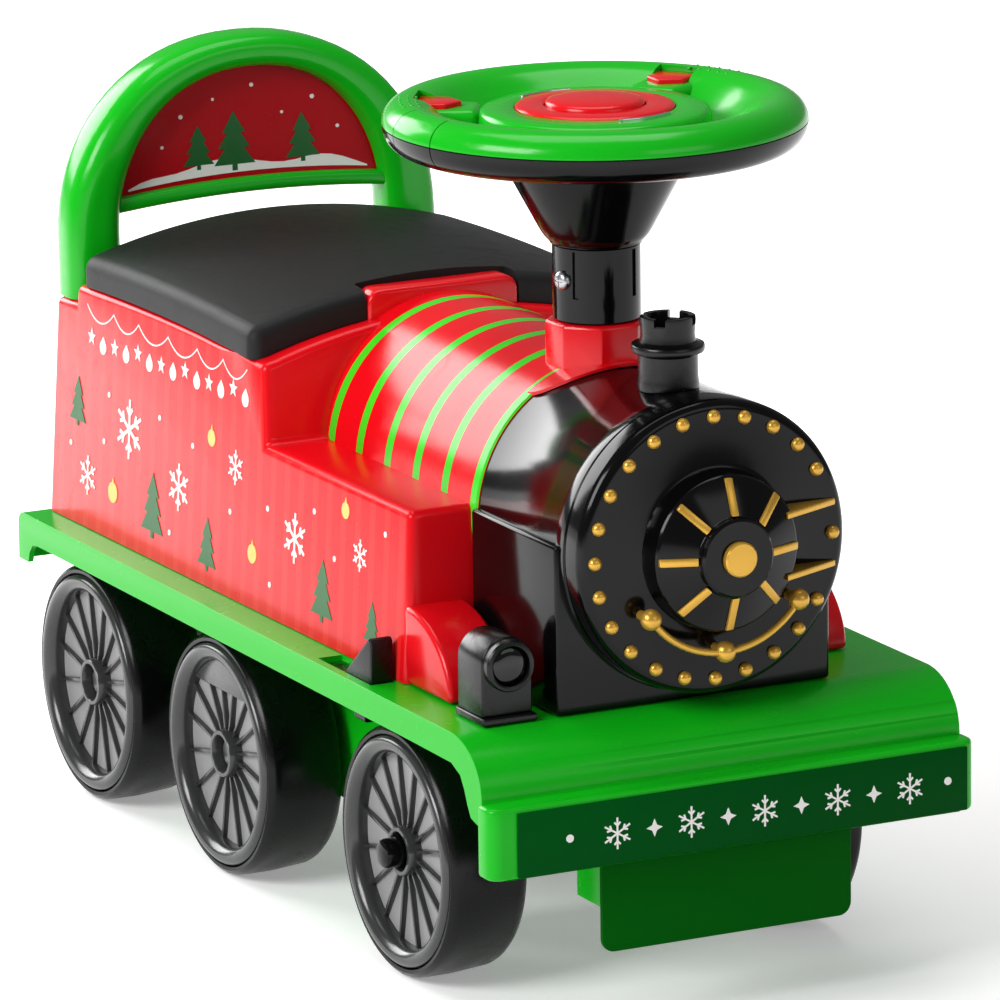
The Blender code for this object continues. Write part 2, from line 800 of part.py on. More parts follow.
def roof_strip():
    """The arched part of the roof before the storage opening, with a rounded front edge."""
    half = ROOF_HALF_WIDTH + 0.0005
    edge = [(0.0, -0.003), (0.0009, -0.0009), (0.003, 0.0)]
    sections = [(ROOF_STRIP_FRONT + step, roof_outline(half, lift, CAB_TOP - 0.006)) for step, lift in edge]
    sections.append((ROOF_STRIP_REAR, roof_outline(half, 0.0, CAB_TOP - 0.006)))
    return add("roof_strip", loft_along_y(sections), None)


def body_moulding():
    foot = DECK_TOP + SEAT_GAP
    bm = drafted_prism(body_profile(0.0, foot), 0.0)
    round_edges(bm, BODY_ROUND, 2, lambda e: not both_ends(e, lambda co: co.z < foot + 1e-5))
    body = add("body_moulding", bm, red(), 30)

    axis_centre = (0, 0, BOILER_AXIS)
    boiler_rear = SEAT_FRONT - SEAT_GAP
    boiler = cylinder(
        "boiler_barrel", "Y", axis_centre, BOILER_RADIUS, BOILER_FRONT, boiler_rear, BARREL_STEPS
    )
    tab_corner = 0.008
    tab_outline = [(TAB_HALF_WIDTH, CAB_TOP - 0.002), (TAB_HALF_WIDTH, TAB_TOP - tab_corner)]
    tab_outline += arc(
        TAB_HALF_WIDTH - tab_corner, TAB_TOP - tab_corner, tab_corner, tab_corner, 0, 90, 3
    )[1:]
    tab_outline += arc(
        -TAB_HALF_WIDTH + tab_corner, TAB_TOP - tab_corner, tab_corner, tab_corner, 90, 180, 3
    )
    tab_outline += [(-TAB_HALF_WIDTH, CAB_TOP - 0.002)]
    tab = prism("seat_tab", tab_outline, "Y", boiler_rear - 0.001, SEAT_FRONT + TAB_DEPTH)

    pedestal = cylinder(
        "pedestal", "Z", (0, FRONT_STATION, 0), PEDESTAL_RADIUS, BOILER_AXIS + 0.05, PEDESTAL_TOP, 8
    )
    pedestal.data.transform(
        Matrix.Translation((0, FRONT_STATION, 0))
        @ Matrix.Rotation(pi / 8, 4, "Z")
        @ Matrix.Translation((0, -FRONT_STATION, 0))
    )
    skin = SMOKEBOX_RADIUS + SEAT_GAP
    seat_radius = skin + 0.0005
    cut(
        pedestal,
        cylinder(
            "pedestal_seat", "Y", axis_centre, seat_radius, APRON_FRONT - 0.01, BOILER_FRONT, BARREL_STEPS
        ),
    )
    fuse(body, roof_strip(), boiler, tab, pedestal)

    apron_rear = BOILER_FRONT + 0.004
    apron_plan = arc(0, apron_rear, APRON_HALF_WIDTH, apron_rear - APRON_FRONT, 180, 360, 13)
    apron = prism("apron", apron_plan, "Z", BOILER_AXIS, PEDESTAL_TOP)
    keep_inside(
        apron,
        tube(
            "apron_skin",
            "Y",
            axis_centre,
            skin,
            skin + APRON_THICKNESS,
            APRON_FRONT - 0.01,
            apron_rear + 0.01,
            BARREL_STEPS,
        ),
    )
    fuse(body, apron)

    foot_width = body_half_width(BODY_FRONT, DECK_TOP) - 0.0012
    splashers = []
    for side in (-1, 1):
        outline = arc(BODY_FRONT + 0.004, foot, -SPLASHER_REACH - 0.004, SPLASHER_HEIGHT, 0, 90, 6)
        outline += [(BODY_FRONT + 0.004, foot)]
        low, high = sorted((side * SPLASHER_INSIDE, side * foot_width))
        splashers.append(prism_mesh(outline, "X", low, high))
    fuse(body, join_islands("splashers", splashers))

    hollow = add("body_hollow", drafted_prism(body_profile(WALL, foot - 0.01), WALL), None)
    inner_radius = BOILER_RADIUS - WALL
    cut(
        body,
        hollow,
        cylinder(
            "boiler_hollow",
            "Y",
            axis_centre,
            inner_radius,
            BOILER_FRONT + WALL,
            CAB_FRONT + 0.012,
            BARREL_STEPS,
        ),
        cylinder("pedestal_bore", "Z", (0, FRONT_STATION, 0), BUSH_RADIUS + 0.0025, 0.28, 0.35, 20),
        prism(
            "roof_hollow",
            roof_outline(ROOF_HALF_WIDTH - 0.0035, -WALL, CAB_TOP - 0.011),
            "Y",
            ROOF_STRIP_FRONT + WALL + 0.0006,
            ROOF_STRIP_REAR - WALL,
        ),
        box(
            "bin_opening",
            (-BIN_HALF_WIDTH, BIN_HALF_WIDTH),
            (BIN_FRONT, BIN_REAR),
            (CAB_TOP - 0.02, CAB_TOP + 0.01),
        ),
    )
    fuse(body, seat_ears())
    cut(body, seat_pin_bore("ear_bore"))
    return body


def seat_pivot():
    return SEAT_REAR - SEAT_PIVOT_RADIUS, CAB_TOP + SEAT_GAP + SEAT_PIVOT_RADIUS


def seat_pin_bore(name):
    y, z = seat_pivot()
    reach = SEAT_EAR_INSIDE + SEAT_EAR_WIDTH + 0.004
    return cylinder(name, "X", (0, y, z), SEAT_PIN_RADIUS + RUNNING_GAP, -reach, reach, 12)


def seat_ears():
    y, z = seat_pivot()
    ears = []
    for side in (-1, 1):
        outline = [(y - 0.0035, CAB_TOP - 0.001), (y + 0.0035, CAB_TOP - 0.001)]
        outline += arc(y, z, 0.0035, 0.0035, 0, 180, 6)
        low, high = sorted((side * SEAT_EAR_INSIDE, side * (SEAT_EAR_INSIDE + SEAT_EAR_WIDTH)))
        ears.append(prism_mesh(outline, "X", low, high))
    return join_islands("seat_ears", ears)


def seat_pin():
    y, z = seat_pivot()
    reach = SEAT_EAR_INSIDE + SEAT_EAR_WIDTH + 0.003
    return cylinder("seat_hinge_pin", "X", (0, y, z), SEAT_PIN_RADIUS, -reach, reach, 10, steel())


def storage_bin():
    under = CAB_TOP + SEAT_GAP
    flange_top = under + 0.0017
    half = BIN_HALF_WIDTH - SEAT_GAP
    front, rear = BIN_FRONT + SEAT_GAP, BIN_REAR - SEAT_GAP
    tub = box("storage_bin", (-half, half), (front, rear), (BIN_FLOOR, flange_top), satin_black())
    flange = box(
        "bin_flange",
        (-half - 0.008, half + 0.008),
        (front - BIN_FLANGE, rear + BIN_FLANGE),
        (under, flange_top),
    )
    fuse(tub, flange)
    inside = box_mesh(
        (-half + BIN_WALL, half - BIN_WALL),
        (front + BIN_WALL, rear - BIN_WALL),
        (BIN_FLOOR + BIN_WALL, flange_top + 0.01),
    )
    round_edges(inside, 0.006, 2, lambda e: along_axis(e, "Z"))
    return cut(tub, add("bin_inside", inside, None))


def seat_sections(inset, stations):
    """Closed cross-sections of the seat lid, left to right over the crown, one at each station."""
    under = CAB_TOP + SEAT_GAP
    bottom = under if inset == 0.0 else under - 0.004
    sections = []
    for station, edge_drop in stations:
        half = SEAT_HALF_WIDTH - inset - (0.0 if inset else 0.35 * edge_drop)
        top = under + SEAT_EDGE_HEIGHT - edge_drop - inset

        def crown(x):
            return top + SEAT_CROWN * (1 - (x / SEAT_HALF_WIDTH) ** 2)

        shoulder = radians(SEAT_SHOULDER)
        corner = SEAT_ROUND - 0.5 * edge_drop - 0.6 * inset
        side_x = half - corner
        end_x = side_x - corner * cos(shoulder)
        side_z = crown(end_x) - corner * sin(shoulder)
        points = [(-half, bottom)]
        points += arc(-side_x, side_z, corner, corner, 180, SEAT_SHOULDER, 3)
        points += [(end_x * (i / 4 - 1), crown(end_x * (i / 4 - 1))) for i in range(1, 8)]
        points += arc(side_x, side_z, corner, corner, 180 - SEAT_SHOULDER, 0, 3)
        points += [(half, bottom)]
        sections.append((station, points))
    return sections


def loft_along_y(sections):
    """Skins closed cross-sections that have equal counts of points, and caps both ends."""
    bm = bmesh.new()
    rings = [[bm.verts.new((x, y, z)) for x, z in points] for y, points in sections]
    for first, second in zip(rings, rings[1:]):
        count = len(first)
        for i in range(count):
            j = (i + 1) % count
            bm.faces.new((first[i], first[j], second[j], second[i]))
    bmesh.ops.triangulate(bm, faces=bm.faces)
    bm.faces.new(rings[0][::-1])
    bm.faces.new(rings[-1])
    return bm


def seat_lid():
    ends = [(0.0, 0.0055), (0.0018, 0.0020), (0.0070, 0.0)]
    stations = [(SEAT_FRONT + step, drop) for step, drop in ends]
    span = SEAT_REAR - SEAT_FRONT
    stations += [(SEAT_FRONT + span * share, 0.0) for share in (0.25, 0.5, 0.75)]
    stations += [(SEAT_REAR - step, drop) for step, drop in ends[::-1]]
    lid = add("seat_lid", loft_along_y(seat_sections(0.0, stations)), satin_black())

    notch_half = TAB_HALF_WIDTH + MOVING_GAP
    notch_rear = SEAT_FRONT + TAB_DEPTH + MOVING_GAP
    pivot_y, pivot_z = seat_pivot()
    hollow_front = SEAT_FRONT + SEAT_WALL + 0.003
    hollow_rear = pivot_y - SEAT_PIVOT_RADIUS - 0.003
    inner = [(hollow_front, 0.0), (SEAT_FRONT + span * 0.5, 0.0), (hollow_rear, 0.0)]
    hollow = add("seat_hollow", loft_along_y(seat_sections(SEAT_WALL, inner)), None)
    guard = box(
        "notch_guard",
        (-notch_half - SEAT_WALL, notch_half + SEAT_WALL),
        (SEAT_FRONT - 0.01, notch_rear + SEAT_WALL),
        (CAB_TOP - 0.03, CAB_TOP + 0.05),
    )
    cut(hollow, guard)
    cut(
        lid,
        hollow,
        box(
            "tab_notch", (-notch_half, notch_half), (SEAT_FRONT - 0.01, notch_rear), (
                CAB_TOP - 0.03, CAB_TOP + 0.05
            )
        ),
    )
    over_roof = roof_outline(ROOF_HALF_WIDTH + 0.0015, SEAT_GAP, CAB_TOP - 0.02)
    cut(lid, prism("roof_room", over_roof, "Y", SEAT_FRONT - 0.01, ROOF_STRIP_REAR + MOVING_GAP))
    relief = box("heel_block", (-0.2, 0.2), (pivot_y, pivot_y + 0.03), (CAB_TOP - 0.03, pivot_z))
    cut(relief, cylinder("heel_round", "X", (0, pivot_y, pivot_z), SEAT_PIVOT_RADIUS, -0.3, 0.3, 20))
    cut(lid, relief)
    slots = []
    for side in (-1, 1):
        low, high = sorted(
            (side * (SEAT_EAR_INSIDE - MOVING_GAP), side * (SEAT_EAR_INSIDE + SEAT_EAR_WIDTH + MOVING_GAP))
        )
        slots.append(
            box_mesh((low, high), (pivot_y - 0.0085, SEAT_REAR + 0.01), (CAB_TOP - 0.03, pivot_z + 0.005))
        )
    cut(lid, join_islands("ear_slots", slots), seat_pin_bore("lid_bore"))
    return pivot_at(lid, 0, pivot_y, pivot_z)


def smokebox():
    centre = (0, 0, BOILER_AXIS)
    rear = BOILER_FRONT - SEAT_GAP
    rim_back = SMOKEBOX_FRONT + SMOKEBOX_RIM_DEPTH
    profile = [
        (0, SMOKEBOX_FRONT),
        (SMOKEBOX_RIM_RADIUS, SMOKEBOX_FRONT),
        (SMOKEBOX_RIM_RADIUS, rim_back),
        (SMOKEBOX_RADIUS, rim_back + 0.0012),
        (SMOKEBOX_RADIUS, rear),
        (0, rear),
    ]
    barrel = turned("smokebox", profile, "Y", centre, BARREL_STEPS, gloss_black())
    foot = DECK_TOP + SEAT_GAP
    saddle_rear = BODY_FRONT - SEAT_GAP
    saddle = box(
        "saddle",
        (-SADDLE_HALF_WIDTH, SADDLE_HALF_WIDTH),
        (SADDLE_FRONT, min(SADDLE_REAR, saddle_rear)),
        (foot, BOILER_AXIS),
    )
    fuse(barrel, saddle)
    cut(
        barrel,
        cylinder(
            "smokebox_hollow",
            "Y",
            centre,
            SMOKEBOX_RADIUS - WALL,
            SMOKEBOX_FRONT + WALL,
            rear + 0.02,
            BARREL_STEPS,
        ),
        box(
            "saddle_hollow",
            (-SADDLE_HALF_WIDTH + WALL, SADDLE_HALF_WIDTH - WALL),
            (SADDLE_FRONT + WALL, saddle_rear - WALL),
            (foot - 0.02, BOILER_AXIS - WALL),
        ),
        cylinder(
            "boiler_nose_room",
            "Y",
            centre,
            BOILER_RADIUS + SEAT_GAP,
            BOILER_FRONT - SEAT_GAP,
            rear + 0.02,
            BARREL_STEPS,
        ),
    )
    return barrel


def door_cone_station(radius):
    """How far back the cone's face lies at this radius, between the step and the hub."""
    share = (radius - DOOR_HUB_RADIUS) / (DOOR_STEP_RADIUS - DOOR_HUB_RADIUS)
    return DOOR_HUB_FACE + 0.004 + (DOOR_STEP_FACE - DOOR_HUB_FACE - 0.004) * share


def smokebox_door():
    """The front plate: rounded edge, raised step, cone with ribs, hub, rivets and two hinge straps."""
    centre = (0, 0, BOILER_AXIS)
    back = SMOKEBOX_FRONT - SEAT_GAP
    corner = DOOR_EDGE_ROUND
    profile = [(0, back), (DOOR_RADIUS, back)]
    profile += [(
        DOOR_RADIUS - corner + r, DOOR_FACE + corner - t
    ) for r, t in arc(0, 0, corner, corner, 0, 90, 2)]
    profile += [(DOOR_STEP_RADIUS + 0.003, DOOR_FACE), (DOOR_STEP_RADIUS + 0.0008, DOOR_FACE - 0.003)]
    profile += [(DOOR_STEP_RADIUS, DOOR_STEP_FACE), (DOOR_HUB_RADIUS, door_cone_station(DOOR_HUB_RADIUS))]
    profile += [(DOOR_HUB_RADIUS - 0.001, DOOR_HUB_FACE), (CAP_RADIUS + SEAT_GAP, DOOR_HUB_FACE)]
    profile += [(CAP_RADIUS + SEAT_GAP, DOOR_HUB_FACE + 0.002), (0, DOOR_HUB_FACE + 0.002)]
    door = turned("smokebox_door", profile, "Y", centre, 28, gloss_black())

    inner, outer = DOOR_HUB_RADIUS + 0.0008, DOOR_STEP_RADIUS - 0.0005
    ribs = []
    for i in range(DOOR_RIB_COUNT):
        near, far = door_cone_station(inner), door_cone_station(outer)
        outline = [
            (near - 0.0014, inner),
            (far - 0.0014, outer),
            (far + 0.0012, outer),
            (near + 0.0012, inner),
        ]
        bm = prism_mesh(outline, "X", -DOOR_RIB_WIDTH / 2, DOOR_RIB_WIDTH / 2)
        turn = Matrix.Rotation(2 * pi * i / DOOR_RIB_COUNT, 4, "Y")
        bmesh.ops.transform(bm, matrix=Matrix.Translation(centre) @ turn, verts=bm.verts)
        ribs.append(bm)
    fuse(door, join_islands("door_ribs", ribs))

    rivets = []
    for i in range(RIVET_STEPS):
        if i in RIVETS_LEFT_OUT:
            continue
        angle = 2 * pi * i / RIVET_STEPS
        place = Vector((RIVET_CIRCLE * sin(angle), DOOR_FACE, BOILER_AXIS + RIVET_CIRCLE * cos(angle)))
        bm = bmesh.new()
        bmesh.ops.create_cone(
            bm,
            cap_ends=True,
            segments=6,
            radius1=RIVET_RADIUS,
            radius2=RIVET_RADIUS * 0.45,
            depth=0.0020,
            matrix=Matrix.Translation(place + Vector((0, -0.0008, 0))) @ Matrix.Rotation(pi / 2, 4, "X"),
        )
        rivets.append(bm)
    fuse(door, join_islands("door_rivets", rivets))

    straps = []
    inner, outer = DOOR_STEP_RADIUS * 0.82, DOOR_RADIUS - 0.006
    for side in (-1, 1):
        outline = [
            (inner, DOOR_STEP_FACE - 0.0030),
            (outer, DOOR_FACE - 0.0020),
            (outer, DOOR_FACE + 0.0010),
            (inner, DOOR_FACE + 0.0010),
        ]
        height = BOILER_AXIS + side * STRAP_OFFSET
        straps.append(prism_mesh(outline, "Z", height - STRAP_WIDTH / 2, height + STRAP_WIDTH / 2))
    fuse(door, join_islands("door_straps", straps))
    return door


def door_cap():
    profile = [(0, DOOR_HUB_FACE + 0.002 - SEAT_GAP), (CAP_RADIUS, DOOR_HUB_FACE + 0.002 - SEAT_GAP)]
    profile += [(CAP_RADIUS, CAP_FACE + 0.001), (CAP_RADIUS - 0.001, CAP_FACE), (0, CAP_FACE)]
    return turned("door_cap", profile, "Y", (0, 0, BOILER_AXIS), 16, gold())


def door_handrail():
    """A bar bent to an arc on three ball stanchions."""
    start = -pi / 2 - RAIL_HALF_ANGLE
    middle = Vector((0, RAIL_STATION, BOILER_AXIS))
    first = Vector((cos(start), 0, sin(start)))
    bm = bmesh.new()
    ring = []
    for i in range(6):
        angle = 2 * pi * i / 6
        aside = Vector((0, RAIL_TUBE_RADIUS * sin(angle), 0))
        ring.append(bm.verts.new(middle + first * (RAIL_CIRCLE + RAIL_TUBE_RADIUS * cos(angle)) + aside))
    face = bm.faces.new(ring)
    bmesh.ops.spin(bm, geom=[face], cent=middle, axis=(0, -1, 0), angle=2 * RAIL_HALF_ANGLE, steps=10)
    bm.faces.ensure_lookup_table()
    if not any(set(f.verts) == set(ring) for f in bm.faces):
        bm.faces.new(ring)
    bar = add("door_handrail", bm, gold())
    balls = []
    for i in (-1, 0, 1):
        angle = -pi / 2 + i * RAIL_HALF_ANGLE
        place = Vector((RAIL_CIRCLE * cos(angle), RAIL_STATION, BOILER_AXIS + RAIL_CIRCLE * sin(angle)))
        ball = bmesh.new()
        bmesh.ops.create_uvsphere(
            ball, u_segments=8, v_segments=5, radius=RAIL_BALL_RADIUS, matrix=Matrix.Translation(place)
        )
        name = "stanchion_%d" % (i + 2)
        fuse(bar, add(name + "_ball", ball, None))
        foot = DOOR_FACE - SEAT_GAP
        fuse(bar, cylinder(name, "Y", place, 0.0022, RAIL_STATION, foot, 6))
    return bar


def chimney():
    centre = (0, CHIMNEY_STATION, 0)
    collar = CHIMNEY_COLLAR_HEIGHT
    radius = CHIMNEY_RADIUS
    profile = [
        (0, BOILER_AXIS + 0.060),
        (radius + 0.0030, BOILER_AXIS + 0.060),
        (radius + 0.0026, BOILER_AXIS + SMOKEBOX_RADIUS + 0.0006),
        (radius, BOILER_AXIS + SMOKEBOX_RADIUS + 0.0050),
        (radius, collar - 0.0030),
        (CHIMNEY_COLLAR_RADIUS, collar - 0.0016),
        (CHIMNEY_COLLAR_RADIUS, collar + 0.0016),
        (radius - 0.0006, collar + 0.0030),
        (radius - 0.0006, CHIMNEY_TOP),
        (CHIMNEY_BORE, CHIMNEY_TOP),
        (CHIMNEY_BORE, CHIMNEY_TOP - 0.018),
        (0, CHIMNEY_TOP - 0.018),
    ]
    stack = turned("chimney", profile, "Z", centre, 16, satin_black())
    seat = cylinder(
        "chimney_seat",
        "Y",
        (0, 0, BOILER_AXIS),
        SMOKEBOX_RADIUS + SEAT_GAP,
        CHIMNEY_STATION - 0.04,
        CHIMNEY_STATION + 0.04,
        BARREL_STEPS,
    )
    notches = []
    for i in range(2):
        bm = box_mesh((-0.03, 0.03), (-0.0022, 0.0022), (CHIMNEY_TOP - 0.0035, CHIMNEY_TOP + 0.01))
        turn = Matrix.Rotation(pi / 4 + i * pi / 2, 4, "Z")
        bmesh.ops.transform(bm, matrix=Matrix.Translation(centre) @ turn, verts=bm.verts)
        notches.append(bm)
    cut(stack, seat)
    for i, bm in enumerate(notches):
        cut(stack, add("crown_notch_%d" % i, bm, None))
    return stack


def lamp_housing():
    foot = DECK_TOP + SEAT_GAP
    half = LAMP_WIDTH / 2
    x, z = LAMP_ACROSS, LAMP_CENTRE_HEIGHT
    rear = LAMP_FRONT + LAMP_DEPTH
    outline = [(x - half, foot), (x + half, foot)] + arc(x, z, half, half, 0, 180, 10)
    body = prism("lamp_housing", outline, "Y", LAMP_FRONT, rear, satin_black())
    flange = box(
        "lamp_flange",
        (x - half - 0.001, x + half + 0.001),
        (LAMP_FRONT - LAMP_FLANGE, rear + 0.001),
        (foot, foot + 0.004),
    )
    ring_front = LAMP_FRONT - LAMP_RING_REACH
    ring = cylinder(
        "lamp_ring", "Y", (x, 0, z), LAMP_RING_RADIUS, ring_front, LAMP_FRONT + 0.002, 24
    )
    bezel = cylinder(
        "lamp_recess",
        "Y",
        (x, 0, z),
        LAMP_LENS_RADIUS + SEAT_GAP,
        ring_front - 0.01,
        ring_front + 0.0035,
        24,
    )
    fuse(body, flange, ring)
    return cut(body, bezel)


def lamp_lens():
    front = LAMP_FRONT - LAMP_RING_REACH
    seat = front + 0.0035 - SEAT_GAP
    profile = [(0, seat), (LAMP_LENS_RADIUS, seat), (LAMP_LENS_RADIUS, front + 0.0015)]
    profile += [(LAMP_LENS_RADIUS * 0.6, front - 0.0004), (0, front - 0.0010)]
    centre = (LAMP_ACROSS, 0, LAMP_CENTRE_HEIGHT)
    return turned("lamp_lens", profile, "Y", centre, 20, material("smoked_lens", (0.03, 0.03, 0.035), 0.05))


def column_centre():
    return (0, FRONT_STATION, 0)


def rim_arc(upper, wall, steps):
    """Half of the rim's cross-section, from its outer edge to its inner edge."""
    middle = RIM_RADIUS - RIM_WIDTH / 2
    sign = 1 if upper else -1
    points = arc(middle, 0, RIM_WIDTH / 2 - wall, sign * (RIM_HEIGHT - wall), 0, 180, steps)
    return [(r, WHEEL_PLANE + z) for r, z in points]


def steering_wheel_upper():
    """Green upper shell: the rim's upper half, its slope down to a valley, the centre disc and two pads."""
    base = WHEEL_PLANE
    valley = DISC_RADIUS + 0.003
    outer = [(RIM_RADIUS, base + SEAT_GAP)] + rim_arc(True, 0.0, 5)[1:4]
    outer += [
        (valley + 0.018, base + 0.0055),
        (valley + 0.008, base - 0.0030),
        (valley, base - VALLEY_DEPTH),
    ]
    outer += [(DISC_RADIUS, base + DISC_TOP - 0.0022), (DISC_RADIUS - 0.003, base + DISC_TOP)]
    ring_seat = CONTROL_RADIUS + SEAT_GAP
    ring_floor = base + DISC_TOP - RING_DEPTH
    outer += [(ring_seat, base + DISC_TOP + 0.0008), (ring_seat, ring_floor)]
    under = [(0.010, ring_floor), (0.010, ring_floor - RIM_WALL)]
    under += [(DISC_RADIUS - RIM_WALL - 0.001, ring_floor - RIM_WALL)]
    under += [(DISC_RADIUS - RIM_WALL + 0.001, base - VALLEY_DEPTH - RIM_WALL)]
    under += [(valley + 0.007, base - 0.0062), (valley + 0.0175, base + 0.0024)]
    under += rim_arc(True, RIM_WALL, 2)[1:-1]
    under += [(RIM_RADIUS - RIM_WALL, base + SEAT_GAP)]
    wheel = turned("steering_wheel_upper", outer + under, "Z", column_centre(), 24, green())
    inner, outer_reach = DISC_RADIUS - 0.0005, THUMB_RADIUS + 0.010
    for side in (-1, 1):
        outline = [(-PAD_HALF_WIDTH, inner), (PAD_HALF_WIDTH, inner)]
        outline += [(PAD_HALF_WIDTH + 0.0035, outer_reach), (-PAD_HALF_WIDTH - 0.0035, outer_reach)]
        bm = prism_mesh(outline, "Z", base - VALLEY_DEPTH - 0.0018, base + PAD_TOP)
        round_edges(bm, 0.0025, 1, lambda e: both_ends(e, lambda co: co.z > base + PAD_TOP - 1e-5))
        turn = Matrix.Translation(column_centre()) @ Matrix.Rotation(-side * THUMB_ANGLE, 4, "Z")
        bmesh.ops.transform(bm, matrix=turn, verts=bm.verts)
        fuse(wheel, add("thumb_pad_%s" % side_name(side), bm, None))
        pocket = thumb_mesh(side, MOVING_GAP / 2, -0.014, 0.02)
        cut(wheel, add("thumb_pocket_%s" % side_name(side), pocket, None))
    return pivot_at(wheel, 0, FRONT_STATION, WHEEL_PLANE)


def side_name(side):
    return "right" if side < 0 else "left"


def thumb_mesh(side, grow, low, high):
    """A five-sided thumb button's outline, pointing at the wheel's centre, carried up from low to high."""
    half_l, half_w = THUMB_LENGTH / 2 + grow, THUMB_WIDTH / 2 + grow
    outline = [
        (-half_w, half_l),
        (-half_w, -half_l * 0.35),
        (0, -half_l),
        (half_w, -half_l * 0.35),
        (half_w, half_l),
    ]
    bm = prism_mesh(outline, "Z", WHEEL_PLANE + low, WHEEL_PLANE + high)
    place = Matrix.Translation(column_centre()) @ Matrix.Rotation(-side * THUMB_ANGLE, 4, "Z")
    bmesh.ops.transform(bm, matrix=place @ Matrix.Translation((0, THUMB_RADIUS, 0)), verts=bm.verts)
    return bm


def thumb_button(side):
    bm = thumb_mesh(side, 0.0, THUMB_TOP - 0.0095, THUMB_TOP)
    top = WHEEL_PLANE + THUMB_TOP
    round_edges(bm, 0.0010, 1, lambda e: both_ends(e, lambda co: co.z > top - 1e-5))
    button = add("thumb_button_%s" % side_name(side), bm, red())
    place = Matrix.Rotation(-side * THUMB_ANGLE, 4, "Z") @ Vector((0, THUMB_RADIUS, 0))
    return pivot_at(button, place.x, FRONT_STATION + place.y, WHEEL_PLANE)


def steering_wheel_lower():
    """Black lower shell: the rim's lower half, the web and the straight cone down to the column."""
    base = WHEEL_PLANE - SEAT_GAP
    wall = RIM_WALL
    web = RIM_RADIUS - RIM_WIDTH - 0.004
    low = CONE_FOOT_HEIGHT
    outer = [(RIM_RADIUS, base)] + rim_arc(False, 0.0, 4)[1:3]
    outer += [
        (web, base - 0.0135),
        (CONE_TOP_RADIUS + 0.006, base - 0.0160),
        (CONE_TOP_RADIUS, CONE_TOP_HEIGHT),
    ]
    outer += [(CONE_FOOT_RADIUS + 0.0040, low + 0.0050), (CONE_FOOT_RADIUS + 0.0022, low + 0.0020)]
    outer += [(CONE_FOOT_RADIUS, low)]
    bore = ROD_RADIUS + SEAT_GAP
    inner = [(bore, low), (bore, low + wall), (CONE_FOOT_RADIUS - 0.0015, low + wall)]
    inner += [
        (CONE_FOOT_RADIUS + 0.0018, low + 0.0062),
        (CONE_TOP_RADIUS - 0.0022, CONE_TOP_HEIGHT + 0.0012),
    ]
    inner += [(CONE_TOP_RADIUS + 0.0045, base - 0.0160 + wall), (web, base - 0.0135 + wall)]
    inner += rim_arc(False, wall, 2)[1:-1]
    inner += [(RIM_RADIUS - wall, base)]
    wheel = turned("steering_wheel_lower", outer + inner, "Z", column_centre(), 24, gloss_black())
    return pivot_at(wheel, 0, FRONT_STATION, WHEEL_PLANE)


def control_ring():
    low = WHEEL_PLANE + DISC_TOP - RING_DEPTH + SEAT_GAP
    profile = [
        (HORN_RADIUS + MOVING_GAP, low),
        (CONTROL_RADIUS, low),
        (CONTROL_RADIUS, low + 0.0040),
        (CONTROL_RADIUS - 0.003, low + 0.0052),
        (HORN_RADIUS + MOVING_GAP, low + 0.0056),
    ]
    ring = turned("control_ring", profile, "Z", column_centre(), 24, red())
    return pivot_at(ring, 0, FRONT_STATION, WHEEL_PLANE)


def horn_button():
    low = WHEEL_PLANE + DISC_TOP - RING_DEPTH + SEAT_GAP + HORN_TRAVEL
    top = WHEEL_PLANE + HORN_TOP
    profile = [
        (0, low),
        (HORN_RADIUS, low),
        (HORN_RADIUS, top - 0.0030),
        (HORN_RADIUS - 0.0025, top - 0.0012),
    ]
    profile += [(HORN_RADIUS * 0.55, top - 0.0002), (0, top)]
    button = turned("horn_button", profile, "Z", column_centre(), 24, red())
    return pivot_at(button, 0, FRONT_STATION, WHEEL_PLANE)


def column_sleeve():
    """The wheel's black socket over the steering rod, with its cross-screw hole and two slots."""
    low = PEDESTAL_TOP + MOVING_GAP
    high = CONE_FOOT_HEIGHT - SEAT_GAP
    bore = ROD_RADIUS + SEAT_GAP
    profile = [
        (BUSH_FLANGE_RADIUS + 0.002, low),
        (SLEEVE_RADIUS, low),
        (SLEEVE_RADIUS, high),
        (bore, high),
        (bore, low + 0.014),
        (BUSH_FLANGE_RADIUS + 0.002, low + 0.012),
    ]
    sleeve = turned("column_sleeve", profile, "Z", column_centre(), 24, gloss_black())
    screw_z = (low + high) / 2
    cut(
        sleeve,
        cylinder(
            "screw_hole", "X", (
                0, FRONT_STATION, screw_z
            ), 0.0024, -SLEEVE_RADIUS - 0.01, -ROD_RADIUS - 0.0007, 12
        ),
    )
    return pivot_at(sleeve, 0, FRONT_STATION, WHEEL_PLANE)


def column_screw():
    low = PEDESTAL_TOP + MOVING_GAP
    high = CONE_FOOT_HEIGHT - SEAT_GAP
    centre = (0, FRONT_STATION, (low + high) / 2)
    head = SLEEVE_RADIUS + 0.0004
    profile = [(0, -head - 0.0022), (0.0030, -head - 0.0018), (0.0038, -head - 0.0002), (0.0038, -head)]
    profile += [(0.0020, -head), (0.0020, -ROD_RADIUS - 0.0010), (0, -ROD_RADIUS - 0.0010)]
    screw = turned("column_screw", profile, "X", centre, 14, steel())
    return pivot_at(screw, 0, FRONT_STATION, WHEEL_PLANE)


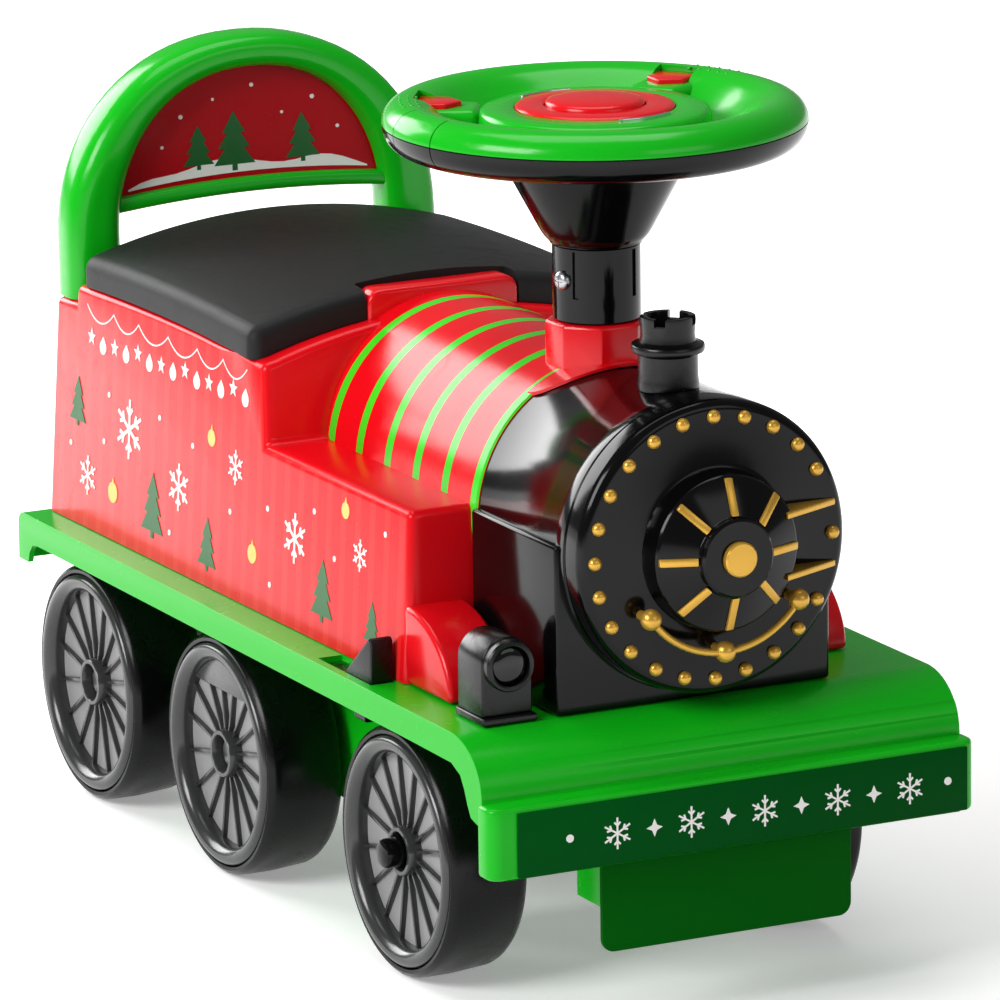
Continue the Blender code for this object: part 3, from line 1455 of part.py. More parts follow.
def steering_rod():
    """The steel rod through pedestal, boiler and deck, with its crank and link pin at the foot."""
    rod = cylinder("steering_rod", "Z", column_centre(), ROD_RADIUS, CRANK_HEIGHT, ROD_TOP, 16, steel())
    reach = FRONT_STATION + CRANK_LENGTH
    half = 0.006
    outline = [(-half, FRONT_STATION), (half, FRONT_STATION)] + arc(0, reach, half, half, 0, 180, 6)
    crank = prism("crank", outline, "Z", CRANK_HEIGHT, CRANK_HEIGHT + CRANK_THICKNESS)
    pin_foot = TIE_ROD_HEIGHT - 0.001
    pin = cylinder("crank_pin", "Z", (0, reach, 0), LINK_PIN_RADIUS, pin_foot, CRANK_HEIGHT + 0.001, 12)
    fuse(rod, crank, pin)
    return pivot_at(rod, 0, FRONT_STATION, CRANK_HEIGHT)


def column_bush():
    bore = ROD_RADIUS + RUNNING_GAP
    radius = BUSH_RADIUS + 0.0025 - SEAT_GAP
    low = PEDESTAL_TOP - 0.020
    top = PEDESTAL_TOP + SEAT_GAP
    profile = [(bore, low), (radius, low), (radius, top), (BUSH_FLANGE_RADIUS, top)]
    profile += [(BUSH_FLANGE_RADIUS, top + 0.002), (bore, top + 0.002)]
    return turned("column_bush", profile, "Z", column_centre(), 16, nylon())


def front_beam():
    """The black crossmember under the deck that holds both kingpins."""
    under = DECK_TOP - WALL - SEAT_GAP
    low = KNUCKLE_HIGH + MOVING_GAP
    end = KINGPIN_ACROSS + KNUCKLE_RADIUS
    half = BEAM_DEPTH / 2
    bm = box_mesh((-end, end), (FRONT_STATION - half, FRONT_STATION + half), (low, under))
    round_edges(bm, 0.004, 2, lambda e: along_axis(e, "Z"))
    beam = add("front_beam", bm, satin_black())
    middle = KINGPIN_ACROSS - 0.014
    pocket_top = under - 0.012
    cut(
        beam,
        box(
            "beam_arch",
            (-middle, middle),
            (FRONT_STATION - 0.02, FRONT_STATION + 0.02),
            (low - 0.01, pocket_top),
        ),
        cylinder(
            "beam_rod_hole", "Z", column_centre(), ROD_RADIUS + 0.0006, pocket_top - 0.01, under + 0.01, 16
        ),
    )
    for side in (-1, 1):
        centre = (side * KINGPIN_ACROSS, FRONT_STATION, 0)
        name = "beam_pin_hole_%s" % side_name(side)
        cut(beam, cylinder(name, "Z", centre, KINGPIN_RADIUS + SEAT_GAP, low - 0.01, low + 0.020, 12))
    return beam


def kingpin(side):
    """A headed pin, up through the knuckle into the beam."""
    centre = (side * KINGPIN_ACROSS, FRONT_STATION, 0)
    low = KNUCKLE_LOW - MOVING_GAP
    top = KNUCKLE_HIGH + MOVING_GAP + 0.0190
    radius = KINGPIN_RADIUS
    profile = [
        (0, low - 0.003),
        (0.0068, low - 0.003),
        (0.0068, low),
        (radius, low),
        (radius, top),
        (0, top),
    ]
    return turned("kingpin_%s" % side_name(side), profile, "Z", centre, 14, steel())


def steering_knuckle(side):
    """Kingpin boss, stub axle for the front wheel and the arm back to the tie rod."""
    name = "steering_knuckle_%s" % side_name(side)
    centre = (side * KINGPIN_ACROSS, FRONT_STATION, 0)
    boss = cylinder(name, "Z", centre, KNUCKLE_RADIUS, KNUCKLE_LOW, KNUCKLE_HIGH, 14, satin_black())
    shoulder = WHEEL_INSIDE - MOVING_GAP
    stub_end = FACE_BACK - 2 * SEAT_GAP
    x0 = KINGPIN_ACROSS
    profile = [
        (0, x0),
        (0.0065, x0),
        (0.0065, shoulder),
        (AXLE_RADIUS, shoulder),
        (AXLE_RADIUS, stub_end),
        (0, stub_end),
    ]
    stub = turned(
        name + "_stub", [(r, side * x) for r, x in profile], "X", (0, FRONT_STATION, WHEEL_RADIUS), 12
    )
    arm_low = TIE_ROD_HEIGHT - SEAT_GAP - KNUCKLE_ARM
    reach = FRONT_STATION + CRANK_LENGTH
    half = 0.0055
    cx = centre[0]
    outline = [
        (cx - half, FRONT_STATION),
        (cx + half, FRONT_STATION),
    ] + arc(cx, reach, half, half, 0, 180, 6)
    arm = prism(name + "_arm", outline, "Z", arm_low, arm_low + KNUCKLE_ARM)
    pin_top = TIE_ROD_HEIGHT + TIE_ROD_THICKNESS + 0.0010
    pin = cylinder(name + "_pin", "Z", (cx, reach, 0), LINK_PIN_RADIUS, arm_low + 0.001, pin_top, 8)
    fuse(boss, stub, arm, pin)
    cut(
        boss,
        cylinder(
            name + "_bore",
            "Z",
            centre,
            KINGPIN_RADIUS + RUNNING_GAP,
            KNUCKLE_LOW - 0.01,
            KNUCKLE_HIGH + 0.01,
            14,
        ),
    )
    return pivot_at(boss, cx, FRONT_STATION, WHEEL_RADIUS)


def tie_rod():
    """The flat link between both knuckle arms and the crank, with play at all three pins."""
    station = FRONT_STATION + CRANK_LENGTH
    half = TIE_ROD_WIDTH / 2
    end = KINGPIN_ACROSS
    outline = arc(end, station, half, half, -90, 90, 5) + arc(-end, station, half, half, 90, 270, 5)
    link = prism("tie_rod", outline, "Z", TIE_ROD_HEIGHT, TIE_ROD_HEIGHT + TIE_ROD_THICKNESS, steel())
    hole = LINK_PIN_RADIUS + LINK_PIN_PLAY
    for i, x in enumerate((-KINGPIN_ACROSS, 0, KINGPIN_ACROSS)):
        name = "link_hole_%d" % i
        cut(
            link,
            cylinder(name, "Z", (x, station, 0), hole, TIE_ROD_HEIGHT - 0.01, TIE_ROD_HEIGHT + 0.02, 14),
        )
    return pivot_at(link, 0, station, TIE_ROD_HEIGHT)


def gear_outline(teeth, phase):
    """A spur gear's outline with trapezoid teeth, slightly thinned for backlash."""
    pitch = GEAR_MODULE * teeth / 2
    tip, root = pitch + 0.9 * GEAR_MODULE, pitch - 1.15 * GEAR_MODULE
    step = 2 * pi / teeth
    points = []
    for i in range(teeth):
        middle = phase + i * step
        for radius, share in ((root, -0.33), (tip, -0.11), (tip, 0.11), (root, 0.33)):
            angle = middle + share * step
            points.append((radius * cos(angle), radius * sin(angle)))
    return points


def motor_place():
    """Station and height of the motor shaft, up and forward of the rear axle."""
    distance = GEAR_MODULE * (GEAR_TEETH + PINION_TEETH) / 2 + 0.00015
    return REAR_STATION - distance * cos(pi / 4), WHEEL_RADIUS + distance * sin(pi / 4)


def drive_gear():
    toward_pinion = radians(135)
    outline = gear_outline(GEAR_TEETH, toward_pinion)
    outline = [(REAR_STATION + y, WHEEL_RADIUS + z) for y, z in outline]
    gear = prism("drive_gear", outline, "X", GEAR_INSIDE, GEAR_INSIDE + GEAR_WIDTH, nylon())
    centre = (0, REAR_STATION, WHEEL_RADIUS)
    cut(
        gear,
        cylinder(
            "gear_bore", "X", centre, AXLE_RADIUS + SEAT_GAP, -0.01, GEAR_INSIDE + GEAR_WIDTH + 0.01, 14
        ),
    )
    return pivot_at(gear, 0, REAR_STATION, WHEEL_RADIUS)


def motor_pinion():
    y0, z0 = motor_place()
    half_tooth = pi / PINION_TEETH
    outline = gear_outline(PINION_TEETH, radians(-45) + half_tooth)
    outline = [(y0 + y, z0 + z) for y, z in outline]
    pinion = prism(
        "motor_pinion", outline, "X", GEAR_INSIDE - 0.001, GEAR_INSIDE + GEAR_WIDTH + 0.001, steel()
    )
    fuse(pinion, cylinder("motor_shaft", "X", (0, y0, z0), 0.0016, -0.002, GEAR_INSIDE + 0.005, 10))
    return pivot_at(pinion, 0, y0, z0)


def gearbox_case():
    """A closed case round the gears, hung from the deck by two posts."""
    y0, z0 = motor_place()
    tip = GEAR_MODULE * (GEAR_TEETH / 2 + 1) + 0.001
    pinion_tip = GEAR_MODULE * (PINION_TEETH / 2 + 1) + 0.001
    wall = GEARBOX_WALL
    inner_y = (min(REAR_STATION - tip, y0 - pinion_tip), REAR_STATION + tip)
    inner_z = (WHEEL_RADIUS - tip, max(WHEEL_RADIUS + tip, z0 + pinion_tip))
    inner_x = (GEAR_INSIDE - 0.0020, GEAR_INSIDE + GEAR_WIDTH + 0.0020)
    outer = [(low - wall, high + wall) for low, high in (inner_x, inner_y, inner_z)]
    bm = box_mesh(*outer)
    round_edges(bm, 0.0020, 1, lambda e: along_axis(e, "X"))
    case = add("gearbox_case", bm, satin_black())
    under = DECK_TOP - WALL - SEAT_GAP
    posts = [
        box_mesh(outer[0], (outer[1][0] + 0.002, outer[1][0] + 0.010), (outer[2][1] - 0.002, under)),
        box_mesh(outer[0], (outer[1][1] - 0.010, outer[1][1] - 0.002), (outer[2][1] - 0.002, under)),
    ]
    fuse(case, join_islands("gearbox_posts", posts))
    axle_hole = cylinder(
        "axle_clearance", "X", (0, REAR_STATION, WHEEL_RADIUS), AXLE_RADIUS + MOVING_GAP, -0.02, 0.06, 14
    )
    shaft_hole = cylinder("shaft_clearance", "X", (0, y0, z0), 0.0026, -0.02, GEAR_INSIDE, 12)
    return cut(case, box("gearbox_room", inner_x, inner_y, inner_z), axle_hole, shaft_hole)


def drive_motor():
    y0, z0 = motor_place()
    face = GEAR_INSIDE - 0.0020 - GEARBOX_WALL - SEAT_GAP
    rear = face - MOTOR_LENGTH
    radius = MOTOR_RADIUS
    profile = [
        (0, rear - 0.003),
        (0.005, rear - 0.003),
        (0.005, rear),
        (radius - 0.001, rear),
        (radius, rear + 0.001),
    ]
    profile += [
        (radius, face - 0.001),
        (radius - 0.001, face),
        (0.0021, face),
        (0.0021, -0.0035),
        (0, -0.0035),
    ]
    return turned("drive_motor", profile, "X", (0, y0, z0), 18, steel())


def battery_tray():
    wall = 0.002
    half = BATTERY_WIDTH / 2 + 0.0005
    low, high = BATTERY_FRONT - 0.0005, BATTERY_FRONT + BATTERY_LENGTH + 0.0005
    top = DECK_TOP - WALL - SEAT_GAP
    tray = box(
        "battery_tray", (
            -half - wall, half + wall
        ), (low - wall, high + wall), (TRAY_FLOOR, top), satin_black()
    )
    room = box("battery_room", (-half, half), (low, high), (TRAY_FLOOR + wall, top + 0.01))
    return cut(tray, room)


def battery_pack():
    """A sealed lead-acid block with its two terminals."""
    half = BATTERY_WIDTH / 2
    floor = TRAY_FLOOR + 0.002 + SEAT_GAP
    rear = BATTERY_FRONT + BATTERY_LENGTH
    bm = box_mesh((-half, half), (BATTERY_FRONT, rear), (floor, floor + BATTERY_HEIGHT))
    round_edges(bm, 0.002, 1, lambda e: along_axis(e, "Z"))
    pack = add("battery_pack", bm, material("battery_grey", (0.12, 0.12, 0.13), 0.6))
    top = floor + BATTERY_HEIGHT
    tabs = [
        box_mesh(
            (x - 0.0025, x + 0.0025),
            (BATTERY_FRONT + 0.008, BATTERY_FRONT + 0.009),
            (top - 0.001, top + 0.0065),
        )
        for x in (-0.022, 0.022)
    ]
    return fuse(pack, join_islands("battery_terminals", tabs))


def accelerator_pedal():
    """A wedge that slopes up towards the front, pivoted at its low rear end."""
    pin_y, pin_z = pedal_pivot()
    low, high = -PEDAL_OUTSIDE, -PEDAL_OUTSIDE + PEDAL_WIDTH
    rear = PEDAL_FRONT + PEDAL_LENGTH
    outline = [
        (PEDAL_FRONT, DECK_TOP - 0.0060),
        (PEDAL_FRONT + 0.006, DECK_TOP - 0.0060),
        (rear - 0.0080, DECK_TOP - 0.0040),
        (rear, DECK_TOP - 0.0020),
        (rear, DECK_TOP + 0.0020),
        (PEDAL_FRONT + 0.0025, DECK_TOP + PEDAL_HEIGHT),
        (PEDAL_FRONT, DECK_TOP + PEDAL_HEIGHT - 0.0015),
    ]
    bm = prism_mesh(outline, "X", low, high)
    round_edges(bm, 0.0008, 1, lambda e: both_ends(e, lambda co: co.z > DECK_TOP + 0.001))
    pedal = add("accelerator_pedal", bm, satin_black())
    fuse(
        pedal,
        cylinder("pedal_pin", "X", (0, pin_y, pin_z), PEDAL_PIN_RADIUS, low - 0.0020, high + 0.0020, 12),
    )
    return pivot_at(pedal, (low + high) / 2, pin_y, pin_z)


def pedal_switch():
    """The sealed switch below the pedal's front end, on the inside of the skirt."""
    outside = -DECK_WIDTH / 2 + WALL + SEAT_GAP
    drop = (PEDAL_LENGTH - 0.006) * sin(PEDAL_TRAVEL)
    top = DECK_TOP - 0.006 - drop - 0.0008
    bm = box_mesh(
        (outside, outside + 0.011), (PEDAL_FRONT + 0.003, PEDAL_FRONT + 0.015), (top - 0.009, top)
    )
    round_edges(bm, 0.001, 1, lambda e: along_axis(e, "Y"))
    return add("pedal_switch", bm, gloss_black())


def backrest_arch():
    """A flattened tube bent to an arch on two short legs, with a crossbar under the panel."""
    foot = BACKREST_LEDGE + SEAT_GAP
    half_depth = BACKREST_DEPTH / 2
    stops = [(0.0, foot)] + [(angle, None) for angle in range(0, 181, 15)] + [(180.0, foot)]
    rings = []
    bm = bmesh.new()
    for degrees, height in stops:
        angle = radians(degrees)
        share = sin(angle) ** 2
        width = BACKREST_LEG_WIDTH + (BACKREST_TOP_WIDTH - BACKREST_LEG_WIDTH) * share
        out_x, out_z = BACKREST_OUTSIDE, BACKREST_TOP - BACKREST_SPRING
        mid_x, mid_z = out_x - width / 2, out_z - width / 2
        centre = Vector((mid_x * cos(angle), BACKREST_STATION, BACKREST_SPRING + mid_z * sin(angle)))
        if height is not None:
            centre.z = height
        out = Vector((cos(angle), 0, sin(angle)))
        ring = []
        for k in range(ARCH_SIDES):
            turn = 2 * pi * (k + 0.5) / ARCH_SIDES
            a, b = cos(turn), sin(turn)
            reach = (abs(a) ** 4 + abs(b) ** 4) ** -0.25
            ring.append(
                bm.verts.new(
                    centre + out * (a * reach * width / 2) + Vector((0, b * reach * half_depth, 0))
                )
            )
        rings.append(ring)
    for first, second in zip(rings, rings[1:]):
        for k in range(ARCH_SIDES):
            j = (k + 1) % ARCH_SIDES
            bm.faces.new((first[k], first[j], second[j], second[k]))
    bm.faces.new(rings[0][::-1])
    bm.faces.new(rings[-1])
    arch = add("backrest_arch", bm, green())
    reach = BACKREST_OUTSIDE - BACKREST_LEG_WIDTH / 2
    bar = box(
        "crossbar",
        (-reach, reach),
        (BACKREST_STATION - 0.009, BACKREST_STATION + 0.009),
        (CROSSBAR_LOW, CROSSBAR_LOW + CROSSBAR_HEIGHT),
    )
    return fuse(arch, bar)


def backrest_panel():
    low = CROSSBAR_LOW + CROSSBAR_HEIGHT + SEAT_GAP
    rx = BACKREST_OUTSIDE - BACKREST_LEG_WIDTH - 0.0006
    rz = BACKREST_TOP - BACKREST_SPRING - BACKREST_TOP_WIDTH - 0.0012
    start = asin((low - BACKREST_SPRING) / rz) * 180 / pi
    outline = arc(0, BACKREST_SPRING, rx, rz, start, 180 - start, 18)
    y0 = BACKREST_STATION - PANEL_THICKNESS / 2
    return prism("backrest_panel", outline, "Y", y0, y0 + PANEL_THICKNESS, red())


def build():
    footplate()
    bumper_plate()
    tow_plate()
    body_moulding()
    storage_bin()
    seat_pin()
    seat_lid()
    smokebox()
    smokebox_door()
    door_cap()
    door_handrail()
    chimney()
    lamp_housing()
    lamp_lens()
    backrest_arch()
    backrest_panel()
    for side in (-1, 1):
        word = side_name(side)
        for place, station in (("middle", MIDDLE_STATION), ("rear", REAR_STATION)):
            drum = wheel_drum("%s_wheel_%s" % (place, word), side, station)
            face = wheel_face("%s_wheel_face_%s" % (place, word), side, station, crescent=place == "middle")
            for piece in (drum, face):
                pivot_at(piece, 0, station, WHEEL_RADIUS)
            bush("%s_bush_%s" % (place, word), side, station)
        drum = wheel_drum("front_wheel_%s" % word, side, FRONT_STATION)
        face = wheel_face("front_wheel_face_%s" % word, side, FRONT_STATION, capped=True)
        for piece in (drum, face):
            pivot_at(piece, side * KINGPIN_ACROSS, FRONT_STATION, WHEEL_RADIUS)
        steering_knuckle(side)
        kingpin(side)
        thumb_button(side)
    for name, station in (("middle_axle", MIDDLE_STATION), ("rear_axle", REAR_STATION)):
        pivot_at(axle(name, station), 0, station, WHEEL_RADIUS)
    front_beam()
    tie_rod()
    steering_rod()
    column_bush()
    column_sleeve()
    column_screw()
    steering_wheel_lower()
    steering_wheel_upper()
    control_ring()
    horn_button()
    drive_gear()
    motor_pinion()
    gearbox_case()
    drive_motor()
    battery_tray()
    battery_pack()
    accelerator_pedal()
    pedal_switch()


build()
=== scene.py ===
"""Looks for the six-wheeled ride-on engine: smooth mouldings, paint, plastics, light and camera."""

import json
from math import asin, cos, pi, radians, sin

import bmesh
import bpy
from mathutils import Matrix, Vector


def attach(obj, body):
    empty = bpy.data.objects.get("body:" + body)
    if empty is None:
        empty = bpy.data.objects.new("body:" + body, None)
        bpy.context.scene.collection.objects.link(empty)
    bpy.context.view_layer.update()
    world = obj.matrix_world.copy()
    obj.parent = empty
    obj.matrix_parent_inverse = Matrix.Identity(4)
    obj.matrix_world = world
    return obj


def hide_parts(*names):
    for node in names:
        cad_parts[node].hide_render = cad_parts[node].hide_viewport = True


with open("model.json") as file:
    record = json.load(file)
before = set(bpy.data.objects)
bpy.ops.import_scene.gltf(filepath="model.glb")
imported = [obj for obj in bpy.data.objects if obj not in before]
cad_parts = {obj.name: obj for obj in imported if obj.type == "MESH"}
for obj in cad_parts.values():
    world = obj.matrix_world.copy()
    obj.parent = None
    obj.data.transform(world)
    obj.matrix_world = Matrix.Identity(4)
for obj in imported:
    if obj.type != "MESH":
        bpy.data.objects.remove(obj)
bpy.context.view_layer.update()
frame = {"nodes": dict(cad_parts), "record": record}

# Sizes are metres. Stations are distances behind the bumper's front face; at() brings them to the frame's Y.
MIDDLE = 0.3005
DECK_TOP = 0.156
WHEEL_RADIUS = 0.066
BOILER_AXIS = 0.2385
STATIONS = {"front": 0.148, "middle": 0.365, "rear": 0.537}
STEER_STATION = STATIONS["front"]
WHEEL_PLANE = 0.4374
BODY_FOOT = DECK_TOP + 0.0004
BODY_FRONT, BODY_REAR = 0.1395, 0.580
CAB_TOP = 0.289
BOILER_SKIN = 0.0758
BOILER_CENTRE = (0, 0, BOILER_AXIS)
BUMPER_HALF, BUMPER_CORNER = 0.1390, 0.007
FACE_FLOOR = 0.1112
RIVET_CIRCLE, RIVET_COUNT, RIVETS_LEFT_OUT = 0.0677, 24, (5, 7)
HANDRAIL_RADIUS, HANDRAIL_STATION, HANDRAIL_HALF_ANGLE = 0.0514, 0.0168, 55
RIM_RADIUS, RIM_HALF_WIDTH, RIM_RISE, RIM_DROP = 0.1091, 0.01375, 0.0122, 0.0138
THUMB_TURN, THUMB_REACH = 56, 0.080


def at(station):
    return station - MIDDLE


def stations(rings):
    """Rings given by radius and station, brought to the frame's Y."""
    return [(radius, at(station)) for radius, station in rings]


def side_view(points):
    """Points given by station and height, brought to the frame's Y."""
    return [(at(station), height) for station, height in points]


COLUMN = (0, at(STEER_STATION), 0)


def shade(red, green, blue):
    """A colour as seen on screen, turned to the linear values that Blender mixes."""
    values = []
    for value in (red, green, blue):
        v = value / 255
        values.append(v / 12.92 if v <= 0.04045 else ((v + 0.055) / 1.055) ** 2.4)
    return (*values, 1.0)


# ---- modelling by hand


def put_down():
    """Leaves edit mode and lets go of everything."""
    if bpy.context.object and bpy.context.object.mode != "OBJECT":
        bpy.ops.object.mode_set(mode="OBJECT")
    bpy.ops.object.select_all(action="DESELECT")


def take_up(piece):
    put_down()
    piece.select_set(True)
    bpy.context.view_layer.objects.active = piece


def edit_all():
    bpy.ops.object.mode_set(mode="EDIT")
    bpy.ops.mesh.select_all(action="SELECT")


def face_outward():
    """Turns every face outward and leaves edit mode."""
    bpy.ops.mesh.select_all(action="SELECT")
    bpy.ops.mesh.normals_make_consistent(inside=False)
    put_down()


def fixed(name):
    """Names the fresh primitive and puts its place into its mesh."""
    piece = bpy.context.object
    piece.name = name
    piece.data.name = name
    bpy.ops.object.transform_apply(location=True, rotation=True, scale=True)
    return piece


def pick(piece, kind, test):
    """Selects only the vertices, edges or faces that pass the test, in edit mode."""
    bpy.ops.mesh.select_mode(type=kind)
    bpy.ops.mesh.select_all(action="DESELECT")
    bm = bmesh.from_edit_mesh(piece.data)
    parts = {"VERT": bm.verts, "EDGE": bm.edges, "FACE": bm.faces}[kind]
    for part in parts:
        if test(part):
            part.select_set(True)
    bm.select_flush_mode()
    bmesh.update_edit_mesh(piece.data)


def block(name, low, high):
    put_down()
    size = [b - a for a, b in zip(low, high)]
    centre = [(a + b) / 2 for a, b in zip(low, high)]
    bpy.ops.mesh.primitive_cube_add(size=1, location=centre, scale=size)
    return fixed(name)


TILTS = {"X": (0, pi / 2, 0), "Y": (pi / 2, 0, 0), "Z": (0, 0, 0)}
SPANS = {"X": (1, 0, 0), "Y": (0, 1, 0), "Z": (0, 0, 1)}


def turned(name, axis, centre, rings, around=96, open_form=False, tilt=0.0):
    """Starts from a circle and draws it out ring by ring; each ring is a radius and a place on the axis."""
    put_down()
    way = Vector(SPANS[axis])
    start = Vector(centre) * (Vector((1, 1, 1)) - way) + way * rings[0][1]
    spin = list(TILTS[axis])
    spin["XYZ".index(axis)] += tilt
    fill = "NOTHING" if open_form else "NGON"
    bpy.ops.mesh.primitive_circle_add(
        vertices=around, radius=rings[0][0], fill_type=fill, location=start, rotation=spin
    )
    piece = fixed(name)
    bpy.ops.object.mode_set(mode="EDIT")
    bpy.ops.mesh.select_mode(type="EDGE")
    bpy.ops.mesh.select_all(action="SELECT")
    for (radius, place), (next_radius, next_place) in zip(rings, rings[1:]):
        step = way * (next_place - place)
        bpy.ops.mesh.extrude_region_move(TRANSFORM_OT_translate={"value": step})
        middle = start + way * (next_place - rings[0][1])
        ratio = next_radius / radius
        size = Vector((ratio, ratio, ratio)) * (Vector((1, 1, 1)) - way) + way
        bpy.ops.transform.resize(value=size, center_override=middle)
    if open_form:
        bpy.ops.mesh.select_all(action="SELECT")
        bpy.ops.mesh.remove_doubles(threshold=0.000005)
    face_outward()
    return piece


def drawn(name, axis, points, low, high, stops=()):
    """Draws an outline point by point, fills it and pulls it along the axis, stop by stop."""
    place = {
        "X": lambda a, b: Vector((low, a, b)),
        "Y": lambda a, b: Vector((a, low, b)),
        "Z": lambda a, b: Vector((a, b, low)),
    }[axis]
    spots = [place(a, b) for a, b in points]
    put_down()
    bpy.ops.mesh.primitive_plane_add(size=0.001, location=spots[0])
    piece = fixed(name)
    bpy.ops.object.mode_set(mode="EDIT")
    bpy.ops.mesh.select_mode(type="VERT")
    bpy.ops.mesh.select_all(action="SELECT")
    bpy.ops.mesh.merge(type="CENTER")
    for spot, following in zip(spots, spots[1:]):
        bpy.ops.mesh.extrude_vertices_move(TRANSFORM_OT_translate={"value": following - spot})
    bpy.ops.mesh.select_all(action="SELECT")
    bpy.ops.mesh.edge_face_add()
    last = low
    for stop in (*stops, high):
        step = Vector(SPANS[axis]) * (stop - last)
        bpy.ops.mesh.extrude_region_move(TRANSFORM_OT_translate={"value": step})
        last = stop
    face_outward()
    return piece


def apply_now(piece, modifier):
    take_up(piece)
    bpy.ops.object.modifier_apply(modifier=modifier.name)


def soften(piece, width, segments=3, angle=30):
    """Rounds the edges that turn by more than the angle."""
    bevel = piece.modifiers.new("round", "BEVEL")
    bevel.width = width
    bevel.segments = segments
    bevel.limit_method = "ANGLE"
    bevel.angle_limit = radians(angle)
    apply_now(piece, bevel)


def carve(piece, tool, operation="DIFFERENCE"):
    made = piece.modifiers.new("carve", "BOOLEAN")
    made.operation = operation
    made.solver = "EXACT"
    made.object = tool
    apply_now(piece, made)
    bpy.data.objects.remove(tool, do_unlink=True)


def bevel_where(piece, test, width, segments, clamp=False):
    """Rounds just the edges that pass the test."""
    take_up(piece)
    bpy.ops.object.mode_set(mode="EDIT")
    pick(piece, "EDGE", test)
    bpy.ops.mesh.bevel(offset=width, segments=segments, affect="EDGES", clamp_overlap=clamp)
    put_down()


def joined(name, pieces):
    take_up(pieces[0])
    for piece in pieces[1:]:
        piece.select_set(True)
    bpy.ops.object.join()
    pieces[0].name = name
    return pieces[0]


def copied(piece, name, place):
    """A copy with its own mesh, moved or mirrored in its mesh."""
    twin = piece.copy()
    twin.data = piece.data.copy()
    twin.name = name
    bpy.context.scene.collection.objects.link(twin)
    twin.data.transform(place)
    if place.determinant() < 0:
        take_up(twin)
        edit_all()
        face_outward()
    return twin


# Mirrors from one side of the vehicle to the other.
ACROSS = Matrix.Scale(-1, 4, (1, 0, 0))
SIDES = ((-1, "right"), (1, "left"))


def side_span(side, inner, outer):
    """Low and high X of a form between two distances from the middle, on the side asked for."""
    return sorted((side * inner, side * outer))


def curve_points(cx, cy, rx, ry, start, end, steps):
    """Points on an ellipse between two angles in degrees."""
    angles = [radians(start + (end - start) * i / steps) for i in range(steps + 1)]
    return [(cx + rx * cos(a), cy + ry * sin(a)) for a in angles]


def quarter(cx, cy, radius, start):
    """A rounded corner of an outline."""
    return curve_points(cx, cy, radius, radius, start, start + 90, 6)


def spot_outline(x, y, radius, corners=10):
    return curve_points(x, y, radius, radius, 0, 360 - 360 / corners, corners - 1)


def finished(piece, body, finish, nodes=(), angle=35):
    """Shades, paints and seats a piece on its body, in place of its CAD nodes."""
    take_up(piece)
    bpy.ops.object.shade_smooth_by_angle(angle=radians(angle))
    if not isinstance(finish, (list, tuple)):
        finish = [finish]
        piece.data.materials.clear()
    for made in finish:
        if made.name not in piece.data.materials:
            piece.data.materials.append(made)
    put_down()
    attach(piece, body)
    if nodes:
        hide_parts(*nodes)
    return piece


# ---- finishes


SOCKETS = {"Colour": "NodeSocketColor"}


def new_group(name, inputs, outputs):
    """An empty shader group with its inputs' defaults; every socket but a colour is a number."""
    group = bpy.data.node_groups.new(name, "ShaderNodeTree")
    for label, value in inputs.items():
        kind = SOCKETS.get(label, "NodeSocketFloat")
        group.interface.new_socket(name=label, in_out="INPUT", socket_type=kind).default_value = value
    for label in outputs:
        kind = SOCKETS.get(label, "NodeSocketFloat")
        group.interface.new_socket(name=label, in_out="OUTPUT", socket_type=kind)
    start = group.nodes.new("NodeGroupInput")
    end = group.nodes.new("NodeGroupOutput")
    return group, start, end


def node(tree, kind, **settings):
    made = tree.nodes.new(kind)
    for key, value in settings.items():
        setattr(made, key, value)
    return made


def link(tree, source, target):
    tree.links.new(source, target)


def feed(tree, socket, value):
    """Sets the socket to a plain value, or links it to another node's socket."""
    if isinstance(value, (int, float, tuple)):
        socket.default_value = value
    else:
        link(tree, value, socket)


def math_node(tree, operation, *values, clamp=False):
    made = node(tree, "ShaderNodeMath", operation=operation, use_clamp=clamp)
    for socket, value in zip(made.inputs, values):
        feed(tree, socket, value)
    return made.outputs[0]


def mix_colour(tree, share, first, second):
    made = node(tree, "ShaderNodeMix", data_type="RGBA")
    for index, value in ((0, share), (6, first), (7, second)):
        feed(tree, made.inputs[index], value)
    return made.outputs[2]


def noise(tree, scale, detail, place, distortion=0.0):
    made = node(tree, "ShaderNodeTexNoise")
    for label, value in (("Scale", scale), ("Detail", detail), ("Distortion", distortion)):
        made.inputs[label].default_value = value
    link(tree, place, made.inputs["Vector"])
    return made.outputs[0]


